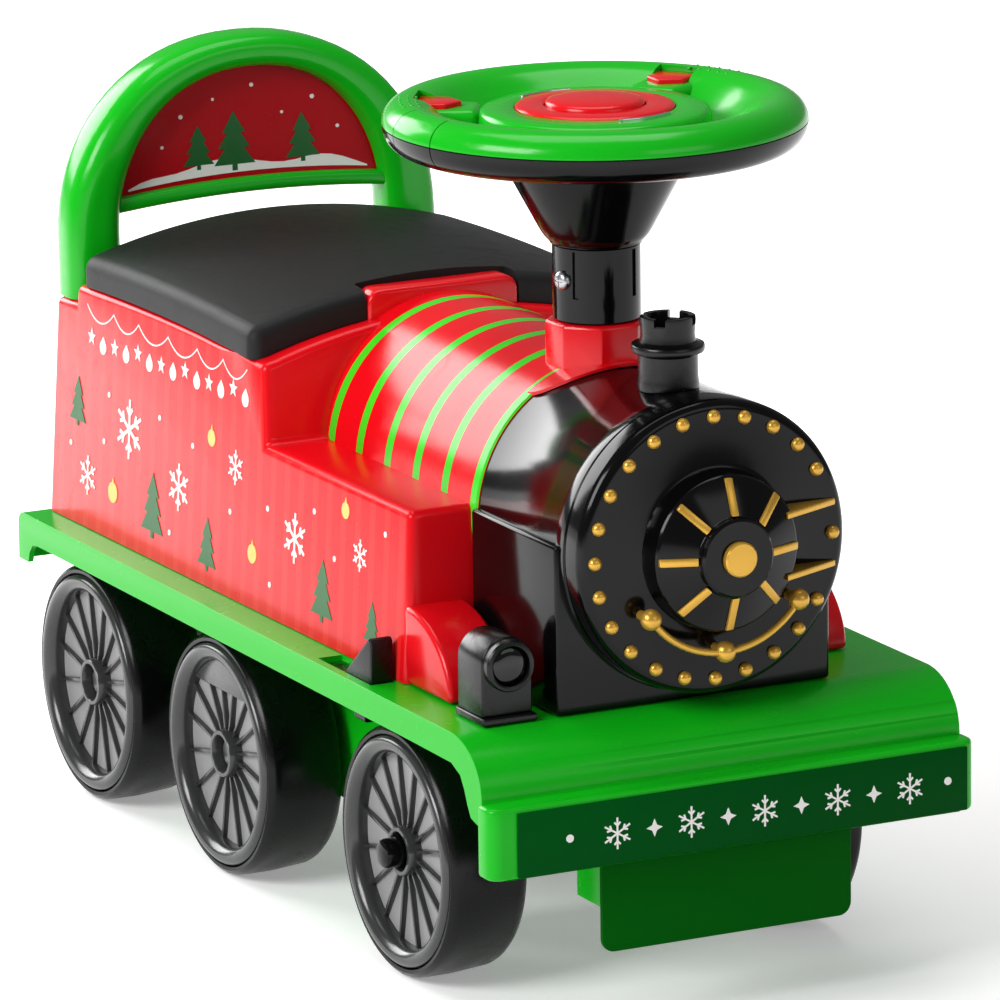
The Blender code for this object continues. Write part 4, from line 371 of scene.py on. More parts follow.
def moulding_group():
    """Moulded plastic: slight unevenness of colour and gloss, fine grain, faint handling marks."""
    group, start, end = new_group(
        "moulded_plastic",
        {"Colour": (0.5, 0.5, 0.5, 1), "Gloss": 0.25, "Unevenness": 0.06, "Grain": 0.1, "Marks": 0.1},
        ["Colour", "Roughness", "Height"],
    )
    place = node(group, "ShaderNodeTexCoord").outputs["Object"]
    broad = noise(group, 14.0, 2.0, place)
    fine = noise(group, 2600.0, 1.0, place)
    swing = math_node(group, "SUBTRACT", broad, 0.5)
    amount = math_node(group, "MULTIPLY", swing, start.outputs["Unevenness"])
    bright = node(group, "ShaderNodeHueSaturation")
    link(group, math_node(group, "ADD", 1.0, amount), bright.inputs["Value"])
    link(group, start.outputs["Colour"], bright.inputs["Color"])
    ramp = node(group, "ShaderNodeValToRGB")
    ramp.color_ramp.elements[0].position = 0.52
    ramp.color_ramp.elements[1].position = 0.72
    link(group, noise(group, 55.0, 6.0, place, distortion=1.6), ramp.inputs[0])
    marks = math_node(group, "MULTIPLY", ramp.outputs[0], start.outputs["Marks"])
    link(group, bright.outputs[0], end.inputs["Colour"])
    link(group, math_node(group, "ADD", start.outputs["Gloss"], marks), end.inputs["Roughness"])
    grain = math_node(group, "MULTIPLY", fine, start.outputs["Grain"])
    waves = math_node(group, "MULTIPLY", broad, 0.25)
    link(group, math_node(group, "ADD", grain, waves), end.inputs["Height"])
    return group


def bands_group():
    """A mask of even bands along Y: first band's place, pitch, count and width."""
    sizes = {"First": 0.0, "Pitch": 0.03, "Count": 6.0, "Width": 0.007}
    group, start, end = new_group("bands", sizes, ["Mask"])
    place = node(group, "ShaderNodeTexCoord").outputs["Object"]
    split = node(group, "ShaderNodeSeparateXYZ")
    link(group, place, split.inputs[0])
    past = math_node(group, "SUBTRACT", split.outputs[1], start.outputs["First"])
    steps = math_node(group, "DIVIDE", past, start.outputs["Pitch"])
    nearest = math_node(group, "ROUND", steps)
    away = math_node(group, "ABSOLUTE", math_node(group, "SUBTRACT", steps, nearest))
    double = math_node(group, "MULTIPLY", start.outputs["Pitch"], 2.0)
    reach = math_node(group, "DIVIDE", start.outputs["Width"], double)
    inside = math_node(group, "LESS_THAN", away, reach)
    after = math_node(group, "GREATER_THAN", nearest, -0.5)
    before = math_node(
        group, "LESS_THAN", nearest, math_node(group, "SUBTRACT", start.outputs["Count"], 0.5)
    )
    mask = math_node(group, "MULTIPLY", inside, math_node(group, "MULTIPLY", after, before))
    link(group, mask, end.inputs["Mask"])
    return group


def painted_highlight_group():
    """A soft mask of sharp edges and corners from the mesh's own sharpness, where a painted highlight
    lightens the colour.
    """
    group, start, end = new_group("painted_edge_highlight", {"Reach": 0.55, "Strength": 0.3}, ["Mask"])
    point = node(group, "ShaderNodeNewGeometry").outputs["Pointiness"]
    raised = math_node(group, "SUBTRACT", point, start.outputs["Reach"])
    wide = math_node(group, "MULTIPLY", raised, 9.0, clamp=True)
    place = node(group, "ShaderNodeTexCoord").outputs["Object"]
    broken = noise(group, 160.0, 3.0, place)
    mask = math_node(
        group, "MULTIPLY", math_node(group, "MULTIPLY", wide, broken), start.outputs["Strength"]
    )
    link(group, mask, end.inputs["Mask"])
    return group


MOULDED = moulding_group()
BANDS = bands_group()
EDGE_HIGHLIGHT = painted_highlight_group()


def place_group(tree, group, **values):
    made = node(tree, "ShaderNodeGroup")
    made.node_tree = group
    for key, value in values.items():
        made.inputs[key].default_value = value
    return made


def plastic(
    name,
    colour,
    gloss=0.25,
    uneven=0.06,
    grain=0.1,
    marks=0.08,
    bump=0.0002,
    coat=0.0,
    metal=0.0,
    edge_highlight=0.0,
    shine=0.3,
):
    """A moulded or painted plastic with its own colour, gloss and grain."""
    made = bpy.data.materials.new(name)
    made.use_nodes = True
    tree = made.node_tree
    shader = tree.nodes["Principled BSDF"]
    base = place_group(
        tree, MOULDED, Colour=colour, Gloss=gloss, Unevenness=uneven, Grain=grain, Marks=marks
    )
    shown = base.outputs["Colour"]
    # Sharp edges and corners are painted lighter: a painted highlight along the edges.
    if edge_highlight:
        edge = place_group(tree, EDGE_HIGHLIGHT, Strength=edge_highlight)
        light = tuple(min(1.0, c * 1.6 + 0.03) for c in colour[:3]) + (1.0,)
        shown = mix_colour(tree, edge.outputs["Mask"], shown, light)
    link(tree, shown, shader.inputs["Base Color"])
    link(tree, base.outputs["Roughness"], shader.inputs["Roughness"])
    lift = node(tree, "ShaderNodeBump")
    lift.inputs["Strength"].default_value = 0.35
    lift.inputs["Distance"].default_value = bump
    link(tree, base.outputs["Height"], lift.inputs["Height"])
    link(tree, lift.outputs["Normal"], shader.inputs["Normal"])
    shader.inputs["Metallic"].default_value = metal
    shader.inputs["Specular IOR Level"].default_value = shine
    shader.inputs["Coat Weight"].default_value = coat
    shader.inputs["Coat Roughness"].default_value = 0.08
    return made


def printed_red(name, bands, strength, ink, sides_only=False):
    """The red moulding with a printed film: green bands on the boiler, or faint uprights on the sides."""
    made = plastic(name, RED_COLOUR, gloss=0.2, shine=0.22)
    tree = made.node_tree
    shader = tree.nodes["Principled BSDF"]
    plain = shader.inputs["Base Color"].links[0].from_socket
    mask = place_group(tree, BANDS, **bands).outputs["Mask"]
    if sides_only:
        split = node(tree, "ShaderNodeSeparateXYZ")
        link(tree, node(tree, "ShaderNodeTexCoord").outputs["Normal"], split.inputs[0])
        upright = math_node(tree, "GREATER_THAN", math_node(tree, "ABSOLUTE", split.outputs[0]), 0.9)
        mask = math_node(tree, "MULTIPLY", mask, upright)
    cover = math_node(tree, "MULTIPLY", mask, strength)
    link(tree, mix_colour(tree, cover, plain, ink), shader.inputs["Base Color"])
    return made


RED_COLOUR = shade(226, 12, 24)
GREEN_COLOUR = shade(14, 182, 24)
red = plastic("red_moulding", RED_COLOUR, gloss=0.2, coat=0.05)
BOILER_BANDS = {"First": at(0.307 - 5 * 0.0334), "Pitch": 0.0334, "Count": 6.0, "Width": 0.0074}
SIDE_BANDS = {"First": at(0.150), "Pitch": 0.0166, "Count": 26.0, "Width": 0.0062}
striped = printed_red("striped_boiler", BOILER_BANDS, 1.0, shade(60, 214, 36))
pinstriped = printed_red("pinstriped_side", SIDE_BANDS, 0.24, shade(246, 74, 60), sides_only=True)
green = plastic("green_moulding", GREEN_COLOUR, gloss=0.2, coat=0.05, shine=0.3)
deck_green = plastic("deck_green", GREEN_COLOUR, gloss=0.26, grain=0.0, marks=0.02, shine=0.2, bump=0.00005)
dark_green = plastic("dark_green_film", shade(0, 78, 22), gloss=0.4, grain=0.05, shine=0.03)
tow_green = plastic("tow_plate_green", shade(0, 92, 10), gloss=0.4, shine=0.03)
gloss_black = plastic(
    "gloss_black", shade(7, 7, 8), gloss=0.12, uneven=0.02, grain=0.02, marks=0.03, shine=0.2
)
satin_black = plastic("satin_black", shade(11, 11, 12), gloss=0.26, grain=0.3, marks=0.1)
seat_black = plastic(
    "seat_black", shade(27, 27, 28), gloss=0.5, grain=1.0, marks=0.06, bump=0.0004, shine=0.2
)
tread_black = plastic("tread_black", shade(8, 8, 9), gloss=0.24, grain=0.2, marks=0.12, shine=0.22)
# The wheel faces' rim and spokes carry a painted highlight on their sharp edges.
face_grey = plastic(
    "wheel_face_grey", shade(50, 50, 51), gloss=0.2, grain=0.2, marks=0.08, edge_highlight=0.6, shine=0.6
)
# The wheel faces' floor: the same grey plastic painted paler, a painted highlight where light falls on the
# flat floor.
floor_painted_lighter = plastic("wheel_floor_painted_lighter", shade(150, 149, 150), gloss=0.42, grain=0.3, marks=0.1)
gold = plastic("gold_paint", shade(212, 164, 66), gloss=0.28, grain=0.5, metal=0.55, uneven=0.12)
silver = plastic("silver_trim", shade(200, 200, 204), gloss=0.18, metal=0.9)
steel = plastic("zinc_steel", shade(172, 174, 178), gloss=0.3, metal=1.0, uneven=0.15)
nylon = plastic("nylon", shade(228, 226, 214), gloss=0.45)
lens_black = plastic("smoked_lens", shade(6, 6, 7), gloss=0.05, coat=0.2)
battery_grey = plastic("battery_grey", shade(72, 74, 78), gloss=0.55, grain=0.4)
panel_red = plastic("panel_red", shade(186, 8, 20), gloss=0.22, shine=0.1)
print_white = plastic("print_white", shade(250, 248, 244), gloss=0.3)
print_green = plastic("print_green", shade(0, 92, 26), gloss=0.3)
print_gold = plastic("print_gold", shade(236, 196, 96), gloss=0.3)


# ---- camera and light


def set_camera():
    azimuth, elevation, roll = radians(-26.646), radians(13.628), radians(-0.760)
    back = Vector((sin(azimuth) * cos(elevation), -cos(azimuth) * cos(elevation), sin(elevation)))
    right = Vector((cos(azimuth), sin(azimuth), 0))
    up = back.cross(right)
    turned_right = cos(roll) * right + sin(roll) * up
    turned_up = -sin(roll) * right + cos(roll) * up
    place = Vector((-1.89567, -3.51622 - MIDDLE, 1.25064 - 0.012))
    data = bpy.data.cameras.new("camera")
    data.sensor_width = 36
    data.lens = 296.28
    data.clip_start = 0.1
    data.clip_end = 50
    camera = bpy.data.objects.new("camera", data)
    bpy.context.scene.collection.objects.link(camera)
    turn = Matrix((turned_right, turned_up, back)).transposed().to_4x4()
    camera.matrix_world = Matrix.Translation(place) @ turn
    bpy.context.scene.camera = camera


def lamp(name, place, target, size, power):
    data = bpy.data.lights.new(name, "AREA")
    data.shape = "RECTANGLE"
    data.size, data.size_y = size
    data.energy = power
    made = bpy.data.objects.new(name, data)
    bpy.context.scene.collection.objects.link(made)
    made.location = place
    aim = Vector(target) - Vector(place)
    made.rotation_euler = aim.to_track_quat("-Z", "Y").to_euler()


def set_studio():
    scene = bpy.context.scene
    scene.view_settings.view_transform = "Standard"
    world = bpy.data.worlds.new("studio")
    scene.world = world
    world.use_nodes = True
    tree = world.node_tree
    backdrop = tree.nodes["Background"]
    backdrop.inputs["Color"].default_value = (1, 1, 1, 1)
    backdrop.inputs["Strength"].default_value = 0.2
    lamp("key", (-2.6, -0.7, 1.8), (0, 0, 0.2), (1.6, 1.2), 72)
    lamp("front", (0.9, -2.8, 1.4), (0, 0, 0.2), (1.8, 1.0), 8)
    lamp("back", (-0.85, 2.5, 1.3), (0, 0, 0.25), (1.7, 1.5), 58)
    lamp("top", (0.1, 0.3, 2.6), (0, 0, 0.2), (1.8, 1.4), 24)

    put_down()
    bpy.ops.mesh.primitive_plane_add(size=30, location=(0, 0, -0.0005))
    floor = fixed("floor")
    pale = bpy.data.materials.new("pale_floor")
    pale.use_nodes = True
    floor_tree = pale.node_tree
    diffuse = floor_tree.nodes["Principled BSDF"]
    diffuse.inputs["Base Color"].default_value = (0.92, 0.92, 0.92, 1)
    diffuse.inputs["Roughness"].default_value = 0.9
    diffuse.inputs["Specular IOR Level"].default_value = 0.1
    path = node(floor_tree, "ShaderNodeLightPath")
    seen = math_node(floor_tree, "MAXIMUM", path.outputs["Is Camera Ray"], path.outputs["Is Glossy Ray"])
    seen = math_node(floor_tree, "MAXIMUM", seen, path.outputs["Is Transmission Ray"])
    diffuse.inputs["Emission Color"].default_value = (1, 1, 1, 1)
    place = node(floor_tree, "ShaderNodeTexCoord").outputs["Object"]
    reach = node(floor_tree, "ShaderNodeVectorMath", operation="LENGTH")
    link(floor_tree, place, reach.inputs[0])
    away = node(floor_tree, "ShaderNodeMapRange")
    link(floor_tree, reach.outputs["Value"], away.inputs["Value"])
    for label, value in (("From Min", 0.38), ("From Max", 1.0), ("To Min", 0.3), ("To Max", 1.0)):
        away.inputs[label].default_value = value
    glow = math_node(floor_tree, "MULTIPLY", seen, away.outputs["Result"])
    link(floor_tree, glow, diffuse.inputs["Emission Strength"])
    floor.data.materials.append(pale)
    put_down()


# ---- footplate


def body_half_width(station, height):
    """The red body widens to the rear and narrows upwards."""
    rise = (station - BODY_FRONT) / (BODY_REAR - BODY_FRONT)
    return 0.1165 + 0.005 * rise - (height - DECK_TOP) * 0.055


def make_footplate():
    half = 0.137
    rear = quarter(0.588 - 0.007, DECK_TOP - 0.007, 0.007, 0)
    slope = curve_points(0.047, DECK_TOP - 0.028, -0.0335, 0.028, 90, 0, 16)
    under = [
        (0.0135, 0.1148), (0.0190, 0.1148), (0.0260, 0.1168), (0.0295, 0.1226), (0.0330, 0.1300),
        (0.0373, 0.1362), (0.0472, 0.1403), (0.0938, 0.1407),
    ]
    hook = [(0.562, 0.1407), (0.569, 0.1395), (0.573, 0.1350), (0.575, 0.1290), (0.588, 0.1290)]
    deck = drawn("footplate", "X", side_view(rear + slope + under + hook), -half, half)
    hollow_top = curve_points(0.047, DECK_TOP - 0.028, -0.0305, 0.025, 90, 0, 12)
    inner = [(0.585, 0.10), (0.585, DECK_TOP - 0.003)] + hollow_top + [(0.0165, 0.10)]
    room = drawn("room", "X", side_view(inner), -half + 0.003, half - 0.003)

    def on_upper_side(edge):
        a, b = (v.co for v in edge.verts)
        if abs(abs(a.x) - half) > 1e-5 or abs(abs(b.x) - half) > 1e-5 or a.x * b.x < 0:
            return False
        return all(v.z > 0.1149 and (v.z > 0.1420 or v.y > at(0.58) or v.y < at(0.0150)) for v in (a, b))

    bevel_where(deck, on_upper_side, 0.0090, 7, clamp=True)
    carve(deck, room)
    carve(deck, block("pedal_slot", (-0.1317, at(0.149), 0.13), (-0.1179, at(0.212), 0.17)))

    plan = [(BUMPER_HALF, at(0.0155)), (-BUMPER_HALF, at(0.0155))]
    plan += quarter(-BUMPER_HALF + BUMPER_CORNER, at(BUMPER_CORNER), BUMPER_CORNER, 180)
    plan += quarter(BUMPER_HALF - BUMPER_CORNER, at(BUMPER_CORNER), BUMPER_CORNER, 270)
    bumper = drawn("bumper", "Z", plan, 0.0892, 0.1265)
    carve(bumper, block("trough", (-0.128, at(0.003), 0.05), (0.128, at(0.03), 0.1235)))
    soften(bumper, 0.0022, 3, 50)
    rails = []
    for side in (-1, 1):
        low, high = side_span(side, 0.064, 0.068)
        rails.append(block("rail", (low, at(0.233), 0.046), (high, at(0.576), 0.1532)))
        low, high = side_span(side, 0.0670, 0.0700)
        flank = [(0.0138, 0.063), (0.0418, 0.063), (0.0418, 0.1385), (0.0280, 0.1385), (0.0138, 0.1180)]
        rails.append(drawn("bracket", "X", side_view(flank), low, high))
    rails.append(block("front_wall", (-0.064, at(0.233), 0.120), (0.064, at(0.237), 0.1532)))
    rails.append(block("rear_wall", (-0.064, at(0.572), 0.120), (0.064, at(0.576), 0.1532)))
    rails.append(block("tow_carrier", (-0.052, at(0.003), 0.102), (0.052, at(0.0101), 0.1236)))
    for rail in rails:
        soften(rail, 0.0008, 2)
    deck = joined("footplate_moulding", [deck, bumper] + rails)
    finished(deck, "vehicle", deck_green, ["footplate"], angle=40)


def make_plates():
    plate = block("bumper_film", (-0.1245, at(-0.0017), 0.0902), (0.1330, at(-0.0001), 0.1238))
    soften(plate, 0.0006, 2)
    finished(plate, "vehicle", dark_green, ["bumper_plate"])
    half, corner = 0.0716, 0.007
    outline = [(half, 0.118), (-half, 0.118)]
    outline += quarter(-half + corner, 0.0405 + corner, corner, 180)
    outline += quarter(half - corner, 0.0405 + corner, corner, 270)
    tow = drawn("tow_plate_panel", "Y", outline, at(0.0104), at(0.0134))
    soften(tow, 0.0007, 3, 50)
    finished(tow, "vehicle", tow_green, ["tow_plate"])


# ---- red body


def roof_rise(x):
    """How far the cab's roof arches above its edges."""
    return 0.0178 * max(0.0, 1 - (x / 0.108) ** 2)


def side_bulge(place):
    """The long edges under the seat rise a little towards the middle."""
    return 0.0028 * max(0.0, 1 - ((place + MIDDLE - 0.436) / 0.1095) ** 2)


def make_cab():
    """Tanks, cab and ledge in one: the side outline carried across in columns, with the roof arched."""
    outline = [(BODY_FRONT, BODY_FOOT), (0.1420, 0.246), (0.3115, 0.246)]
    outline += [(0.3155, CAB_TOP), (0.3455, CAB_TOP)]
    outline += [(0.3495 + 0.0252 * i, CAB_TOP) for i in range(8)]
    outline += [(0.5515, CAB_TOP), (0.5520, 0.278), (0.5775, 0.278), (BODY_REAR, BODY_FOOT)]
    shares = [-0.93, -0.86, -0.77, -0.66, -0.54, -0.41, -0.27, -0.13]
    shares += [0.0] + [-share for share in shares[::-1]]
    cab = drawn("cab", "X", side_view(outline), -0.1, 0.1, [0.1 * share for share in shares])
    for vert in cab.data.vertices:
        share, high = vert.co.x / 0.1, abs(vert.co.z - CAB_TOP) < 1e-4
        vert.co.x = share * body_half_width(vert.co.y + MIDDLE, vert.co.z)
        if high and vert.co.y < at(0.3460):
            rise = roof_rise(vert.co.x)
            vert.co.z += rise
            if vert.co.y < at(0.3200):
                vert.co.y += rise * 0.004 / 0.043
        elif high and abs(share) > 0.95:
            vert.co.z += side_bulge(vert.co.y)

    def turns(edge):
        a, b = (v.co for v in edge.verts)
        if max(a.z, b.z) < BODY_FOOT + 1e-4 or edge.calc_face_angle(0) < radians(20):
            return False
        return not (at(0.3450) < min(a.y, b.y) and max(a.y, b.y) < at(0.3500))

    bevel_where(cab, turns, 0.0042, 4)
    carve(cab, block("well", (-0.088, at(0.3499), 0.20), (0.088, at(0.526), 0.30)))
    return cab


def make_body():
    finished(make_cab(), "vehicle", pinstriped, ["body_moulding"])

    rings = stations([(BOILER_SKIN, 0.1362), (0.0768, 0.1372), (0.0768, 0.3262)])
    boiler = turned("boiler", "Y", BOILER_CENTRE, rings, around=128)
    finished(boiler, "vehicle", striped)

    half, corner = 0.0445, 0.008
    outline = [(half, 0.280), (half, 0.3195 - corner)]
    outline += quarter(half - corner, 0.3195 - corner, corner, 0)[1:]
    outline += quarter(-half + corner, 0.3195 - corner, corner, 90)
    outline += [(-half, 0.280)]
    tab = drawn("tab", "Y", outline, at(0.3252), at(0.3415))
    soften(tab, 0.0022, 3, 50)
    finished(tab, "vehicle", red)

    rings = [(0.027, 0.300), (0.027, 0.3333), (0.0258, 0.3345), (0.0118, 0.3345), (0.0118, 0.326)]
    pedestal = turned("pedestal", "Z", COLUMN, rings, around=8, tilt=pi / 8)
    soften(pedestal, 0.0012, 2, 25)
    skin = BOILER_SKIN
    saddle = turned("saddle_cut", "Y", BOILER_CENTRE, [(skin, at(0.10)), (skin, at(0.1362))], around=128)
    carve(pedestal, saddle)
    finished(pedestal, "vehicle", red)

    plan = curve_points(0, at(0.1402), 0.0445, 0.0232, 180, 360, 32)
    apron = drawn("apron", "Z", plan, 0.25, 0.33)
    low, high = skin + 0.0001, skin + 0.0016
    shell = stations([(low, 0.10), (high, 0.10), (high, 0.15), (low, 0.15)])
    sleeve = turned("sleeve", "Y", BOILER_CENTRE, shell + shell[:1], around=128, open_form=True)
    carve(apron, sleeve, "INTERSECT")
    finished(apron, "vehicle", red)

    for side, word in SIDES:
        arch = curve_points(at(0.1435), BODY_FOOT, -0.052, 0.041, 0, 90, 18) + [(at(0.1435), BODY_FOOT)]
        low, high = side_span(side, 0.0812, 0.1153)
        splasher = drawn("splasher_%s" % word, "X", arch, low, high)
        soften(splasher, 0.0030, 4, 50)
        finished(splasher, "vehicle", red)


# ---- seat, bin and backrest


def make_seat():
    """An arched lid of even thickness with rounded edges, notched for the tab."""
    under, half, corner = 0.2893, 0.113, 0.0088
    front, rear = at(0.3265), at(0.5455)
    shoulder = radians(106.5)
    end_x = half - corner - corner * cos(shoulder)

    def crown(x):
        return under + 0.0155 + 0.0178 * (1 - (x / half) ** 2)

    side_z = crown(end_x) - corner * sin(shoulder)
    left = [(-half, under)] + curve_points(-half + corner, side_z, corner, corner, 180, 106.5, 7)
    over = [(end_x * (i / 14 - 1), crown(end_x * (i / 14 - 1))) for i in range(1, 28)]
    outline = left + over + [(-x, z) for x, z in left[::-1]]
    stops = [front + (rear - front) * i / 14 for i in range(1, 14)]
    lid = drawn("seat", "Y", outline, front, rear, stops)
    for vert in lid.data.vertices:
        vert.co.z += side_bulge(vert.co.y)

    def rim(edge):
        a, b = (v.co for v in edge.verts)
        at_end = [abs(v.y - place) < 1e-5 for v in (a, b) for place in (front, rear)]
        return sum(at_end) == 2 and max(a.z, b.z) > under + 1e-4 and abs(a.y - b.y) < 1e-5

    bevel_where(lid, rim, 0.0070, 6)
    notch = block("notch", (-0.0453, front - 0.01, 0.25), (0.0453, at(0.3423), 0.35))
    soften(notch, 0.002, 2)
    carve(lid, notch)
    room = [(-0.1083, 0.24)]
    for i in range(25):
        room.append((0.1083 * (i / 12 - 1), 0.2894 + roof_rise(0.1080 * (i / 12 - 1))))
    room.append((0.1083, 0.24))
    carve(lid, drawn("room", "Y", room, front - 0.01, at(0.5341)))
    heel = block("heel", (-0.2, at(0.5413), 0.25), (0.2, at(0.56), 0.2935))
    barrel = turned("barrel", "X", (0, at(0.5413), 0.2935), [(0.0042, -0.3), (0.0042, 0.3)], around=32)
    carve(heel, barrel)
    carve(lid, heel)
    for side in (-1, 1):
        low, high = side_span(side, 0.0692, 0.0768)
        carve(lid, block("ear_slot", (low, at(0.5328), 0.25), (high, at(0.56), 0.2985)))
    finished(lid, "seat", seat_black, ["seat_lid"], angle=40)


def lean_back(piece):
    """The backrest leans back a little, by its height above the ledge."""
    for vert in piece.data.vertices:
        vert.co.y += 0.05 * max(0.0, vert.co.z - 0.29)
    return piece


ARCH_REACH, ARCH_SPRING, ARCH_HEIGHT, ARCH_FULLNESS = 0.0970, 0.3085, 0.0985, 2 / 2.15


def arch_place(degrees, inset=0.0):
    """A place on the arch's middle line, or inside it by the inset."""
    a = radians(degrees)
    x = (ARCH_REACH - inset) * abs(cos(a)) ** ARCH_FULLNESS * (1 if cos(a) >= 0 else -1)
    return x, ARCH_SPRING + (ARCH_HEIGHT - inset) * abs(sin(a)) ** ARCH_FULLNESS


def make_backrest():
    """An oval tube swept up one leg, over the arch and down the other."""
    station, depth, count = at(0.5695), 0.034, 28
    stops = [(0.0, 0.2783), (0.0, 0.293)] + [(5.0 * i, None) for i in range(37)]
    stops += [(180.0, 0.293), (180.0, 0.2783)]
    put_down()
    bpy.ops.mesh.primitive_circle_add(vertices=count, radius=0.01, fill_type="NGON", location=(0, 0, 0))
    arch = fixed("arch")
    edit_all()
    for _ in stops[1:]:
        bpy.ops.mesh.extrude_region_move(TRANSFORM_OT_translate={"value": (0, 0, 0.01)})
    put_down()
    order = sorted(range(len(arch.data.vertices)), key=lambda i: round(arch.data.vertices[i].co.z, 5))
    for level, (degrees, height) in enumerate(stops):
        share = sin(radians(degrees)) ** 1.6
        width = 0.0315 + (0.0190 - 0.0315) * share
        x, z = arch_place(degrees)
        before, after = arch_place(max(0.0, degrees - 1)), arch_place(min(180.0, degrees + 1))
        along = Vector((after[0] - before[0], 0, after[1] - before[1])).normalized()
        out = Vector((along.z, 0, -along.x))
        if height is not None:
            z, out = height, Vector((1 if degrees < 90 else -1, 0, 0))
        for index in order[level * count : (level + 1) * count]:
            vert = arch.data.vertices[index]
            a, b = vert.co.x / 0.01, vert.co.y / 0.01
            reach = (abs(a) ** 3.2 + abs(b) ** 3.2) ** (-1 / 3.2)
            beside, behind = a * reach * width / 2, b * reach * depth / 2
            vert.co = Vector((x, station, z)) + out * beside + Vector((0, behind, 0))
            if b < 0:
                vert.co.y -= 0.0035 * b * min(1.0, max(0.0, (0.355 - vert.co.z) / 0.03))
    take_up(arch)
    edit_all()
    face_outward()
    over = [(-0.088 + 0.011 * i) for i in range(17)]
    bar = [(x, 0.3302 + 0.0050 * (1 - (x / 0.088) ** 2)) for x in over]
    bar += [(x, z - 0.0082) for x, z in bar[::-1]]
    bar = drawn("bar", "Y", bar, station - 0.008, station + 0.008)
    soften(bar, 0.0022, 3, 50)
    arch = joined("backrest_tube", [arch, bar])
    finished(lean_back(arch), "vehicle", green, ["backrest_arch"], angle=45)

    outline = [(x, 0.3295 + 0.0050 * (1 - (x / 0.088) ** 2)) for x in over[1:-1]]
    outline += [arch_place(16 + 148 * i / 40, 0.0075) for i in range(41)]
    panel = drawn("panel", "Y", outline, station - 0.0025, station + 0.0025)
    finished(lean_back(panel), "vehicle", panel_red, ["backrest_panel"])
    foot = [(-0.0735 + 0.00735 * i, 0.3336 + 0.0045 * (1 - (1 - 0.1 * i) ** 2)) for i in range(21)]
    humps = (0.0008, 0.0030, 0.0052, 0.0066, 0.0068, 0.0058, 0.0042, 0.0034, 0.0038, 0.0050, 0.0066)
    humps += (0.0078, 0.0084, 0.0080, 0.0068, 0.0052, 0.0042, 0.0040, 0.0040, 0.0030, 0.0008)
    hill = foot + [(x, z + lift) for (x, z), lift in zip(foot[::-1], humps)]
    prints = [drawn("hill", "Y", hill, station - 0.0028, station - 0.0024)]
    for x, z, size in SNOW_SPOTS:
        prints.append(drawn("flake", "Y", spot_outline(x, z, size), station - 0.0028, station - 0.0024))
    finished(lean_back(joined("panel_snow", prints)), "vehicle", print_white)
    firs = []
    for x, z, size in ((-0.030, 0.3440, 0.85), (-0.008, 0.3425, 1.15), (0.034, 0.3430, 0.95)):
        firs.append(drawn("fir", "Y", fir_outline(x, z, size), station - 0.00285, station - 0.0024))
    finished(lean_back(joined("panel_firs", firs)), "vehicle", print_green)


SNOW_SPOTS = (
    (-0.052, 0.3560, 0.0010), (-0.040, 0.3720, 0.0013), (-0.020, 0.3800, 0.0009), (0.004, 0.3860, 0.0012),
    (0.022, 0.3690, 0.0009), (0.041, 0.3760, 0.0013), (0.056, 0.3580, 0.0011),
)
FIR_OUTLINE = (
    (-0.0014, -0.0030), (0.0014, -0.0030), (0.0014, 0.0), (0.0110, 0.0), (0.0050, 0.0080),
    (0.0085, 0.0080), (0.0035, 0.0155), (0.0060, 0.0155), (0.0, 0.0260), (-0.0060, 0.0155),
    (-0.0035, 0.0155), (-0.0085, 0.0080), (-0.0050, 0.0080), (-0.0110, 0.0), (-0.0014, 0.0),
)


# ---- printed pictures


def star_outline(y, z, size, points=5):
    outline = []
    for i in range(2 * points):
        turn = pi / 2 + pi * i / points
        reach = size * (1.0, 0.42)[i % 2]
        outline.append((y + reach * cos(turn), z + reach * sin(turn)))
    return outline


def drop_outline(y, z, size):
    return [(y, z + size * 1.5)] + curve_points(y, z, size, size, 52, -232, 14)


def flake_outline(y, z, size):
    """A six-armed snow crystal as one closed outline."""
    arm = [(0.104, 0.060), (0.46, 0.060), (0.66, 0.25), (0.75, 0.17), (0.64, 0.060), (1.0, 0.060)]
    arm += [(along, -across) for along, across in arm[:0:-1]]
    outline = []
    for i in range(6):
        turn = radians(90 - 60 * i)
        for along, beside in arm:
            u, v = along * cos(turn) - beside * sin(turn), along * sin(turn) + beside * cos(turn)
            outline.append((y + size * u, z + size * v))
    return outline


def fir_outline(y, z, size):
    return [(y + a * size, z + b * size) for a, b in FIR_OUTLINE]


GARLAND = (0.536, 0.5018, 0.4699, 0.4325, 0.3960, 0.3640, 0.3345)
SIDE_FLAKES = (
    (0.478, 0.222, 0.0165), (0.414, 0.203, 0.0130), (0.530, 0.186, 0.0110), (0.345, 0.228, 0.0095),
    (0.272, 0.205, 0.0135), (0.196, 0.212, 0.0085),
)
SIDE_FIRS = (
    (0.545, 0.214, 0.95), (0.446, 0.172, 1.25), (0.377, 0.168, 1.0), (0.238, 0.171, 1.15),
    (0.180, 0.170, 0.8),
)
SIDE_BAUBLES = (
    (0.497, 0.183, 0.0058), (0.322, 0.186, 0.0052), (0.375, 0.238, 0.0046), (0.214, 0.232, 0.0044)
)
SIDE_DOTS = (
    (0.553, 0.200), (0.510, 0.209), (0.505, 0.236), (0.440, 0.236), (0.424, 0.176), (0.398, 0.229),
    (0.350, 0.203), (0.305, 0.214), (0.300, 0.174), (0.250, 0.224), (0.225, 0.204), (0.168, 0.229),
)


def side_print(name, outlines, side, material):
    """Thin printed shapes on the sloping side of the red body."""
    shapes = [drawn("shape", "X", side_view(outline), 0.0, 0.0004) for outline in outlines]
    shape = joined(name, shapes)
    for vert in shape.data.vertices:
        vert.co.x = side * (body_half_width(vert.co.y + MIDDLE, vert.co.z) - 0.0001 + vert.co.x)
    take_up(shape)
    edit_all()
    face_outward()
    finished(shape, "vehicle", material)


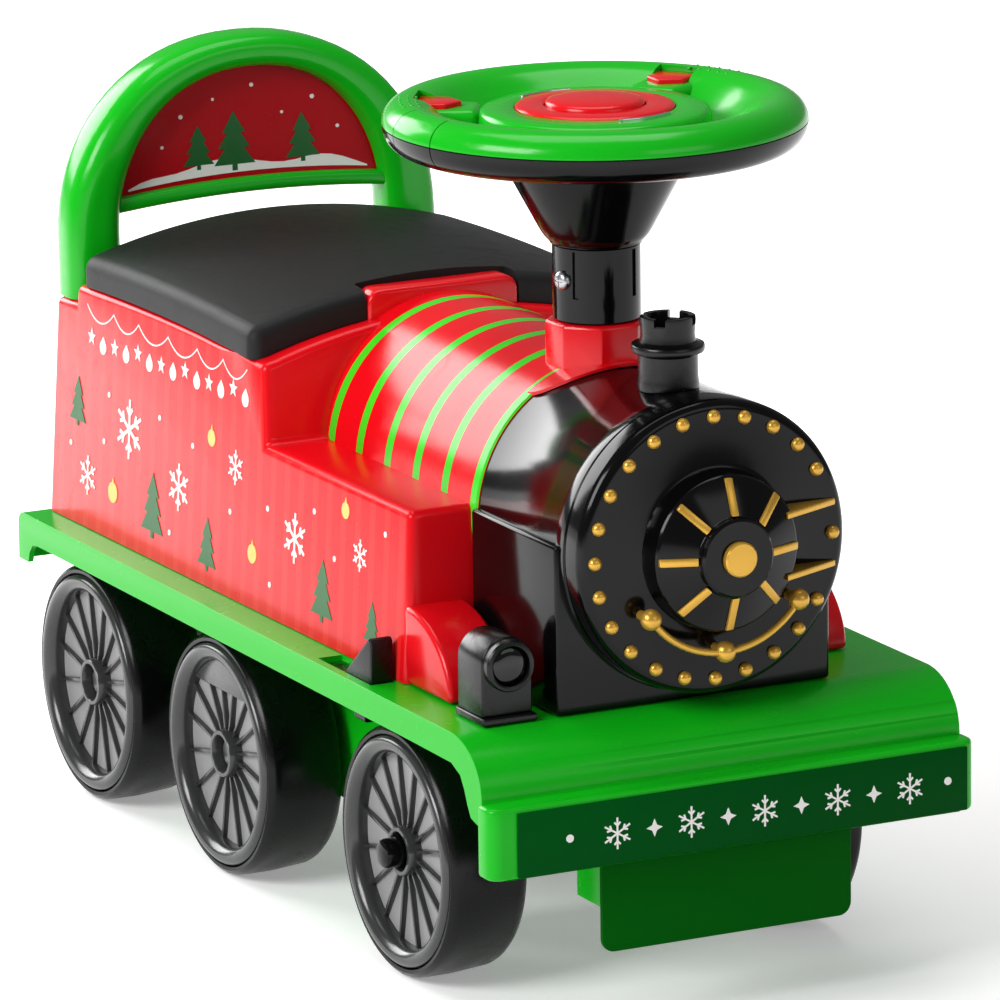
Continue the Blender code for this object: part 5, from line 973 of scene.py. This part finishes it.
def make_prints():
    white = []
    for rear, front in zip(GARLAND, GARLAND[1:]):
        lift = 0.2812 + (0.536 - rear) * 0.012
        sweep = [(i / 12, lift - 0.0076 * (1 - (i / 6 - 1) ** 2)) for i in range(13)]
        path = [(rear + (front - rear) * share, z) for share, z in sweep]
        white.append(path + [(y, z - 0.0008) for y, z in path[::-1]])
    for i in range(14):
        y = 0.5293 - 0.0149 * i
        z = 0.2600 + 0.0005 * i + (0.0018 if i % 4 == 0 else 0.0)
        white.append(drop_outline(y, z, 0.0040) if i % 2 else star_outline(y, z + 0.002, 0.0050))
    white += [flake_outline(*spot) for spot in SIDE_FLAKES]
    white += [spot_outline(y, z, 0.0016) for y, z in SIDE_DOTS]
    firs = [fir_outline(*spot) for spot in SIDE_FIRS]
    baubles = []
    for y, z, size in SIDE_BAUBLES:
        baubles.append(spot_outline(y, z, size, 20))
        top = z + size
        baubles.append([(y - 0.0012, top - 0.0004), (y + 0.0012, top - 0.0004), (y, top + 0.0028)])
    for side, word in SIDES:
        side_print("side_snow_%s" % word, white, side, print_white)
        side_print("side_firs_%s" % word, firs, side, print_green)
        side_print("side_baubles_%s" % word, baubles, side, print_gold)

    row = []
    for i in range(9):
        x = -0.0690 + 0.0210 * i
        row.append(flake_outline(x, 0.1062, 0.0082) if i % 2 == 0 else star_outline(x, 0.1062, 0.0046, 4))
    for x in (-0.0957, 0.1212):
        row.append(spot_outline(x, 0.1072, 0.0021, 20))
    row = [drawn("shape", "Y", outline, at(-0.0020), at(-0.0016)) for outline in row]
    finished(joined("bumper_stars", row), "vehicle", print_white)


# ---- smokebox, door and chimney


def make_smokebox():
    rings = stations([
        (BOILER_SKIN, 0.0390), (0.0767, 0.0400), (0.0767, 0.0480), (0.0763, 0.0488), (0.0756, 0.0498),
        (0.0755, 0.1358),
    ])
    drum = turned("drum", "Y", BOILER_CENTRE, rings, around=144)
    base = block("base", (-0.0785, at(0.0445), BODY_FOOT), (0.0785, at(0.1390), 0.2450))
    soften(base, 0.0022, 3)
    box = joined("smokebox_shell", [drum, base])
    finished(box, "vehicle", gloss_black, ["smokebox"])


def forward(piece):
    """Brings a finished door piece to the smokebox's front rim."""
    piece.data.transform(Matrix.Translation((0, -0.0055, 0.0010)))
    return piece


def cone_place(radius):
    """The station of the door's cone at a radius, between its hub and its step."""
    hub, step = 0.0055, 0.0135
    return hub + (step - hub) * (radius - 0.0200) / 0.0200


def make_door():
    edge = curve_points(0.0760 - 0.0055, 0.0335, 0.0055, -0.0055, 0, 90, 6)
    rings = [(0.0754, 0.0442), (0.0760, 0.0436)] + edge
    rings += [(0.0440, 0.0280), (0.0415, 0.0272), (0.0406, 0.0250), (0.0404, 0.0150), (0.0396, 0.0136)]
    rings += [(0.0386, cone_place(0.0386)), (0.0210, cone_place(0.0210)), (0.0204, 0.0048)]
    rings += [(0.0202, 0.0028), (0.0190, 0.0015), (0.0094, 0.0015), (0.0093, 0.0034)]
    door = turned("door", "Y", BOILER_CENTRE, stations(rings), around=144)
    finished(forward(door), "vehicle", gloss_black, ["smokebox_door"], angle=28)


def make_door_ribs():
    """The cone's eight ribs and the two straps."""
    ribs = []
    inner, outer = 0.0212, 0.0393
    outline = [
        (at(cone_place(inner) - 0.0015), inner),
        (at(cone_place(outer) - 0.0015), outer),
        (at(cone_place(outer) + 0.0010), outer),
        (at(cone_place(inner) + 0.0010), inner),
    ]
    for i in range(8):
        rib = drawn("rib", "X", outline, -0.0021, 0.0021)
        soften(rib, 0.0006, 2)
        turn = Matrix.Translation(BOILER_CENTRE) @ Matrix.Rotation(2 * pi * i / 8, 4, "Y")
        rib.data.transform(turn)
        ribs.append(rib)
    for side in (-1, 1):
        outline = [
            (0.0328, at(0.0106)), (0.0690, at(0.0268)), (0.0690, at(0.0290)), (0.0360, at(0.0290)),
            (0.0328, at(0.0150)),
        ]
        height = BOILER_AXIS + side * 0.016
        strap = drawn("strap", "Z", outline, height - 0.0017, height + 0.0017)
        soften(strap, 0.0006, 2)
        ribs.append(strap)
    ribs = joined("door_ribs", ribs)
    finished(forward(ribs), "vehicle", gold)


def make_rivets_and_cap():
    rings = [(0.0036, 0.0283), (0.0036, 0.0272), (0.0030, 0.0258), (0.0018, 0.0250), (0.0006, 0.0248)]
    first = turned("rivet", "Y", (0, 0, 0), stations(rings), around=20)
    rivets = []
    for i in range(RIVET_COUNT):
        if i in RIVETS_LEFT_OUT:
            continue
        angle = 2 * pi * i / RIVET_COUNT
        away = Vector((RIVET_CIRCLE * sin(angle), 0, BOILER_AXIS + RIVET_CIRCLE * cos(angle)))
        rivets.append(copied(first, "rivet_%d" % i, Matrix.Translation(away)))
    bpy.data.objects.remove(first)
    rivets = joined("door_rivets", rivets)
    finished(forward(rivets), "vehicle", gold, angle=60)

    rings = stations([(0.0090, 0.0032), (0.0090, -0.0010), (0.0082, -0.0018), (0.0040, -0.0020)])
    cap = turned("cap", "Y", BOILER_CENTRE, rings, around=64)
    finished(forward(cap), "vehicle", gold, ["door_cap"])


def make_handrail():
    """A ring cut down to its lower arc, on three balls with stalks."""
    centre = Vector(BOILER_CENTRE)
    put_down()
    bpy.ops.mesh.primitive_torus_add(
        major_segments=120,
        minor_segments=18,
        major_radius=HANDRAIL_RADIUS,
        minor_radius=0.0019,
        location=centre + Vector((0, at(HANDRAIL_STATION), 0)),
        rotation=(pi / 2, 0, 0),
    )
    rail = fixed("rail")
    bpy.ops.object.mode_set(mode="EDIT")
    limit = cos(radians(HANDRAIL_HALF_ANGLE))

    def beyond(vert):
        away = vert.co - centre
        away.y = 0
        return -away.z / away.length < limit - 0.002

    pick(rail, "VERT", beyond)
    bpy.ops.mesh.delete(type="VERT")
    bpy.ops.mesh.select_mode(type="EDGE")
    bpy.ops.mesh.select_all(action="DESELECT")
    bpy.ops.mesh.select_non_manifold()
    bpy.ops.mesh.edge_face_add()
    put_down()
    parts = [rail]
    for i in (-1, 0, 1):
        angle = -pi / 2 + i * radians(HANDRAIL_HALF_ANGLE)
        across, up = HANDRAIL_RADIUS * cos(angle), HANDRAIL_RADIUS * sin(angle)
        spot = Vector((across, at(HANDRAIL_STATION), BOILER_AXIS + up))
        put_down()
        bpy.ops.mesh.primitive_uv_sphere_add(segments=28, ring_count=16, radius=0.0055, location=spot)
        parts.append(fixed("ball"))
        rings = stations([(0.0026, 0.0278), (0.0026, 0.0190)])
        parts.append(turned("stalk", "Y", spot, rings, around=20))
    rail = joined("handrail", parts)
    finished(forward(rail), "vehicle", gold, ["door_handrail"], angle=60)


def make_chimney():
    centre = (0, at(0.0705), 0)
    rings = [
        (0.0157, 0.3090), (0.0159, 0.3150), (0.0156, 0.3172), (0.0154, 0.3196), (0.0153, 0.3304),
        (0.0160, 0.3314), (0.0184, 0.3320), (0.0188, 0.3329), (0.0188, 0.3350), (0.0184, 0.3358),
        (0.0156, 0.3364), (0.0143, 0.3376), (0.0138, 0.3410), (0.0143, 0.3482), (0.0141, 0.3500),
        (0.0135, 0.3502), (0.0107, 0.3500), (0.0105, 0.3330),
    ]
    stack = turned("stack", "Z", centre, rings, around=72)
    for i in range(2):
        notch = block("notch", (-0.03, -0.0030, 0.3460), (0.03, 0.0030, 0.36))
        notch.data.transform(Matrix.Translation(centre) @ Matrix.Rotation(pi / 4 + i * pi / 2, 4, "Z"))
        carve(stack, notch)
    barrel = turned("barrel", "Y", BOILER_CENTRE, [(0.0757, at(0.03)), (0.0757, at(0.12))], around=144)
    carve(stack, barrel)
    finished(stack, "vehicle", satin_black, ["chimney"])


def make_lamp():
    x, z, half = -0.1045, 0.1866, 0.0142
    outline = [
        (x - half, DECK_TOP + 0.004),
        (x + half, DECK_TOP + 0.004),
    ] + curve_points(x, z, half, half, 0, 180, 28)
    house = drawn("house", "Y", outline, at(0.0480), at(0.0760))
    soften(house, 0.0014, 3, 40)
    foot = block(
        "foot", (x - half - 0.001, at(0.0445), BODY_FOOT), (x + half + 0.001, at(0.077), DECK_TOP + 0.0043)
    )
    soften(foot, 0.0010, 3)
    rings = stations([
        (0.0134, 0.0500), (0.0134, 0.0442), (0.0127, 0.0433), (0.0114, 0.0430), (0.0105, 0.0434),
        (0.0103, 0.0500), (0.0134, 0.0500),
    ])
    ring = turned("ring", "Y", (x, 0, z), rings, around=72, open_form=True)
    lamp_piece = joined("lamp_house", [house, foot, ring])
    finished(lamp_piece, "vehicle", satin_black, ["lamp_housing"])
    rings = [(0.0102, 0.0475), (0.0102, 0.0462), (0.0086, 0.0452), (0.0052, 0.0446), (0.0010, 0.0443)]
    lens = turned("lens", "Y", (x, 0, z), stations(rings), around=64)
    finished(lens, "vehicle", lens_black, ["lamp_lens"], angle=60)


def make_pedal():
    """A wedge on a long foot, with six ribs across its slope."""
    low, high = (0.182, 0.1552), (0.1525, 0.1800)
    outline = [
        (0.150, 0.1500), (0.156, 0.1500), (0.200, 0.1500), (0.209, 0.1505), (0.209, 0.1525),
        (0.186, 0.1532), low, high, (0.150, 0.1785),
    ]
    pedal = drawn("pedal", "X", side_view(outline), -0.1312, -0.1184)
    soften(pedal, 0.0009, 3)
    for i in range(6):
        share = 0.15 + 0.14 * i
        y, z = low[0] - (low[0] - high[0]) * share, low[1] + (high[1] - low[1]) * share
        rib = block("rib", (-0.1298, -0.0007, -0.0004), (-0.1198, 0.0007, 0.0006))
        rib.data.transform(Matrix.Translation((0, at(y), z)) @ Matrix.Rotation(-0.6990, 4, "X"))
        pedal = joined("pedal_wedge", [pedal, rib])
    finished(pedal, "pedal", satin_black, ["accelerator_pedal"])


# ---- wheels


def wheel_tyre():
    """The right-hand wheel drum at the origin, its axis on X and its face towards -X."""
    rings = [
        (0.0046, 0.1076), (0.0609, 0.1076), (0.0609, 0.1186), (0.0614, 0.1194), (0.0632, 0.1196),
        (0.0650, 0.1182), (0.0658, 0.1160), (0.0660, 0.1125), (0.0660, 0.1000), (0.0645, 0.0810),
        (0.0634, 0.0780), (0.0610, 0.0752), (0.0585, 0.0745), (0.0046, 0.0745), (0.0046, 0.1076),
    ]
    return turned("tyre", "X", (0, 0, 0), [(r, -x) for r, x in rings], around=96, open_form=True)


def wheel_spokes(crescent=False, capped=False):
    """A spoked face at the origin, with a counterweight crescent or an axle cap where asked for."""
    rings = [
        (0.0080, 0.1079), (0.0606, 0.1079), (0.0606, 0.1180), (0.0602, 0.1196), (0.0590, 0.1209),
        (0.0572, 0.1215), (0.0552, 0.1213), (0.0533, 0.1203), (0.0518, 0.1185), (0.0510, 0.1160),
        (0.0506, FACE_FLOOR), (0.0140, FACE_FLOOR), (0.0134, 0.1116), (0.0131, 0.1176), (0.0124, 0.1185),
        (0.0106, 0.1185), (0.0100, 0.1176), (0.0098, 0.1108), (0.0080, 0.1108), (0.0080, 0.1079),
    ]
    face = turned("face", "X", (0, 0, 0), [(r, -x) for r, x in rings], around=96, open_form=True)
    outline = [(-0.1092, 0.0125), (-0.1144, 0.0125), (-0.1136, 0.0512), (-0.1092, 0.0512)]
    first = drawn("spoke", "Y", outline, -0.0014, 0.0014)
    for vert in first.data.vertices:
        if vert.co.x < -0.112:
            vert.co.y *= 0.62
    soften(first, 0.0003, 2, 25)
    parts = [face]
    for i in range(16):
        parts.append(copied(first, "spoke_%d" % i, Matrix.Rotation(2 * pi * (i + 0.5) / 16, 4, "X")))
    bpy.data.objects.remove(first)
    if crescent:
        spread = asin(0.0340 / 0.0508) * 180 / pi
        outline = curve_points(0, 0, 0.0508, 0.0508, spread, 180 - spread, 28)
        plate = drawn("crescent", "X", outline, -0.1150, -0.1092)
        soften(plate, 0.0006, 2, 50)
        parts.append(plate)
    if capped:
        rings = [(0.0078, 0.1085), (0.0078, 0.1255), (0.0070, 0.1276), (0.0050, 0.1285), (0.0010, 0.1287)]
        parts.append(turned("cap", "X", (0, 0, 0), [(r, -x) for r, x in rings], around=40))
    return joined("face", parts)


def paint_floor_lighter(face, side, place):
    """The dished floor between the spokes gets a paler grey than the rim and spokes, a painted highlight for
    the light on the flat floor; the axle's cap is black.
    """
    for poly in face.data.polygons:
        spot = poly.center
        reach = ((spot.y - place) ** 2 + (spot.z - WHEEL_RADIUS) ** 2) ** 0.5
        out = side * spot.x
        if reach < 0.0079 and out > 0.1086:
            poly.material_index = 2
        elif abs(out - FACE_FLOOR) < 0.0002 and 0.014 < reach < 0.0508 and abs(poly.normal.x) > 0.9:
            poly.material_index = 1
        else:
            poly.material_index = 0


def make_wheels():
    tyre = wheel_tyre()
    faces = {
        "front": wheel_spokes(capped=True),
        "middle": wheel_spokes(crescent=True),
        "rear": wheel_spokes(),
    }
    for place, station in STATIONS.items():
        for side, word in SIDES:
            move = Matrix.Translation((0, at(station), WHEEL_RADIUS))
            if side > 0:
                move = move @ ACROSS
            body = "front_%s_wheel" % word if place == "front" else "%s_wheels" % place
            drum = copied(tyre, "%s_tyre_%s" % (place, word), move)
            finished(drum, body, tread_black, ["%s_wheel_%s" % (place, word)], angle=40)
            face = copied(faces[place], "%s_spokes_%s" % (place, word), move)
            # Grey rim and spokes, the floor painted paler as a highlight, and the black cap.
            finishes = [face_grey, floor_painted_lighter, gloss_black]
            finished(face, body, finishes, ["%s_wheel_face_%s" % (place, word)], angle=40)
            paint_floor_lighter(face, side, at(station))
    for spare in [tyre] + list(faces.values()):
        bpy.data.objects.remove(spare)


# ---- steering wheel


def around_column(turn):
    return Matrix.Translation((0, at(STEER_STATION), 0)) @ Matrix.Rotation(turn, 4, "Z")


RIM_MIDDLE = RIM_RADIUS - RIM_HALF_WIDTH
SEAMS = (173, 193, 7, -13)


def seam_cut(degrees):
    """A thin upright slot across the rim where the two grips begin and end."""
    slot = block("slot", (0.0965, -0.0004, WHEEL_PLANE - 0.02), (0.12, 0.0004, WHEEL_PLANE + 0.02))
    slot.data.transform(around_column(radians(degrees)))
    return slot


def grip_bumps():
    """Small bumps on top of the rim, in two patches beside the seams."""
    put_down()
    bpy.ops.mesh.primitive_uv_sphere_add(segments=12, ring_count=8, radius=0.0009, location=(0, 0, 0))
    first = fixed("bump")
    bumps = []
    for middle_turn in (158, 22):
        for i in range(5):
            for reach in (0.0912, 0.0953, 0.0994):
                high = 0.0004 + RIM_RISE * (1 - ((reach - RIM_MIDDLE) / RIM_HALF_WIDTH) ** 2) ** 0.5
                turn = around_column(radians(middle_turn + 4.0 * (i - 2)))
                place = Matrix.Translation((reach, 0, WHEEL_PLANE + high - 0.0004))
                bumps.append(copied(first, "bump", turn @ place))
    bpy.data.objects.remove(first)
    return bumps


def make_wheel_top():
    base = WHEEL_PLANE
    upper = curve_points(RIM_MIDDLE, base + 0.0004, RIM_HALF_WIDTH, RIM_RISE, 0, 112, 18)
    dish = [
        (0.0868, base + 0.0106), (0.0835, base + 0.0086), (0.0795, base + 0.0054),
        (0.0750, base + 0.0014), (0.0705, base - 0.0022), (0.0665, base - 0.0045),
        (0.0640, base - 0.0056), (0.0622, base - 0.0058), (0.0610, base - 0.0048),
        (0.0600, base - 0.0010), (0.0594, base + 0.0040), (0.0584, base + 0.0058),
        (0.0565, base + 0.0067), (0.0424, base + 0.0076), (0.0414, base + 0.0070),
        (0.0413, base + 0.0036), (0.0100, base + 0.0036), (0.0100, base + 0.0011),
        (0.0555, base + 0.0011), (0.0575, base - 0.0085), (0.0690, base - 0.0062),
        (0.0795, base + 0.0024), (0.09455, base + 0.0100), (0.1066, base + 0.0004),
        (RIM_RADIUS, base + 0.0004),
    ]
    top = turned("wheel_top", "Z", COLUMN, upper + dish, around=160, open_form=True)
    for side in (-1, 1):
        pad_outline = [(-0.0140, 0.0585), (0.0140, 0.0585), (0.0175, 0.0900), (-0.0175, 0.0900)]
        pad = drawn("pad", "Z", pad_outline, base - 0.0078, base + 0.0066)
        soften(pad, 0.0044, 5)
        pad.data.transform(around_column(-side * radians(THUMB_TURN)))
        carve(top, pad, "UNION")
        carve(top, thumb_form("pocket", side, 0.0004, -0.014, 0.02))
    for degrees in SEAMS:
        carve(top, seam_cut(degrees))
    top = joined("wheel_top_with_grips", [top] + grip_bumps())
    finished(top, "steering", green, ["steering_wheel_upper"], angle=38)
    for side, word in SIDES:
        button = thumb_form("thumb_%s" % word, side, 0.0, -0.0017, 0.0092)
        soften(button, 0.0011, 3)
        finished(button, "%s_thumb_button" % word, red, ["thumb_button_%s" % word])


def make_wheel_bottom():
    base = WHEEL_PLANE
    lower = curve_points(RIM_MIDDLE, base - 0.0002, RIM_HALF_WIDTH, -RIM_DROP, 0, 92, 14)
    cone = [
        (0.0860, base - 0.0143), (0.0768, base - 0.0146), (0.0600, base - 0.0152),
        (0.0525, base - 0.0164), (0.0490, base - 0.0180), (0.0472, base - 0.0210), (0.0462, 0.4134),
        (0.0300, 0.3832), (0.0284, 0.3804), (0.0272, 0.3786), (0.0256, 0.3768), (0.0244, 0.3757),
        (0.0240, 0.3746), (0.0053, 0.3746), (0.0053, 0.3771), (0.0225, 0.3771), (0.0258, 0.3807),
        (0.0443, 0.4152), (0.0510, base - 0.0138), (0.0768, base - 0.0113), (0.09455, base - 0.0103),
        (0.1066, base - 0.0002), (RIM_RADIUS, base - 0.0002),
    ]
    bottom = turned("wheel_bottom", "Z", COLUMN, lower + cone, around=160, open_form=True)
    for degrees in SEAMS:
        carve(bottom, seam_cut(degrees))
    finished(bottom, "steering", gloss_black, ["steering_wheel_lower"], angle=38)


def make_dish_pieces():
    """Silver arcs, red ring and horn button."""
    base = WHEEL_PLANE
    arcs = []
    for middle_turn in (100, -80):
        turns = [radians(middle_turn + 3 * i) for i in range(-7, 8)]
        outline = [(0.0452 * cos(t), 0.0452 * sin(t)) for t in turns]
        outline += [(0.0434 * cos(t), 0.0434 * sin(t)) for t in turns[::-1]]
        arc = drawn("arc", "Z", outline, base + 0.0060, base + 0.0084)
        soften(arc, 0.0003, 2, 50)
        arc.data.transform(around_column(0))
        arcs.append(arc)
    finished(joined("disc_arcs", arcs), "steering", silver)

    low = base + 0.0036 + 0.0003
    rings = [
        (0.0263, low), (0.0410, low), (0.0410, low + 0.0036), (0.0402, low + 0.0044),
        (0.0390, low + 0.0048), (0.0280, low + 0.0054), (0.0268, low + 0.0050), (0.0263, low + 0.0044),
        (0.0263, low),
    ]
    ring = turned("red_ring", "Z", COLUMN, rings, around=128, open_form=True)
    finished(ring, "steering", red, ["control_ring"])
    low = base + 0.0036 + 0.0033
    rings = [(0.0255, low), (0.0255, base + 0.0095), (0.0246, base + 0.0107), (0.0225, base + 0.0113)]
    rings += [(0.0170, base + 0.0120), (0.0100, base + 0.0124), (0.0010, base + 0.0125)]
    horn = turned("horn", "Z", COLUMN, rings, around=96)
    finished(horn, "horn", red, ["horn_button"], angle=60)


def make_sleeve():
    """The column's sleeve with its two grooves, and its cross-head screw."""
    rings = [
        (0.0130, 0.3351), (0.0222, 0.3351), (0.0228, 0.3357), (0.0228, 0.3736), (0.0222, 0.3742),
        (0.0053, 0.3742), (0.0053, 0.3460), (0.0130, 0.3440), (0.0130, 0.3351),
    ]
    sleeve = turned("sleeve", "Z", COLUMN, rings, around=96, open_form=True)
    for degrees in (214, 300):
        groove = block("groove", (0.0214, -0.0016, 0.3480), (0.03, 0.0016, 0.3726))
        groove.data.transform(around_column(radians(degrees)))
        carve(sleeve, groove)
    finished(sleeve, "steering", gloss_black, ["column_sleeve"])
    rings = [(0.0048, -0.0218), (0.0050, -0.0238), (0.0044, -0.0251), (0.0028, -0.0259), (0.0004, -0.0261)]
    screw = turned("screw", "X", (0, 0, 0.357), rings, around=32)
    carve(screw, block("bar", (-0.0300, -0.0030, 0.3565), (-0.0254, 0.0030, 0.3575)))
    carve(screw, block("bar", (-0.0300, -0.0005, 0.3540), (-0.0254, 0.0005, 0.3600)))
    screw.data.transform(around_column(radians(14)))
    finished(screw, "steering", steel, ["column_screw"], angle=50)


def thumb_form(name, side, grow, low, high):
    """The five-sided thumb button, its point towards the wheel's centre."""
    length, width = 0.0118 + grow, 0.0108 + grow
    outline = [
        (-width, length),
        (-width, -length * 0.35),
        (0, -length),
        (width, -length * 0.35),
        (width, length),
    ]
    piece = drawn(name, "Z", outline, WHEEL_PLANE + low, WHEEL_PLANE + high)
    piece.data.transform(
        around_column(-side * radians(THUMB_TURN)) @ Matrix.Translation((0, THUMB_REACH, 0))
    )
    return piece


# ---- pieces kept from the frame


def finish_kept_nodes():
    finishes = {
        "satin_black": satin_black,
        "gloss_black": gloss_black,
        "steel": steel,
        "nylon": nylon,
        "battery": battery_grey,
        "green": green,
        "dark_green": dark_green,
        "red": red,
        "grey": face_grey,
        "gold": gold,
        "lens": lens_black,
    }
    for part in frame["record"]["subparts"]:
        kept = frame["nodes"][part["node"]]
        kept.data.materials.clear()
        kept.data.materials.append(finishes[part["material_slot"]])


set_camera()
set_studio()
make_footplate()
make_plates()
make_body()
make_seat()
make_backrest()
make_prints()
make_smokebox()
make_door()
make_door_ribs()
make_rivets_and_cap()
make_handrail()
make_chimney()
make_lamp()
make_pedal()
make_wheels()
make_wheel_top()
make_wheel_bottom()
make_dish_pieces()
make_sleeve()
finish_kept_nodes()
put_down()
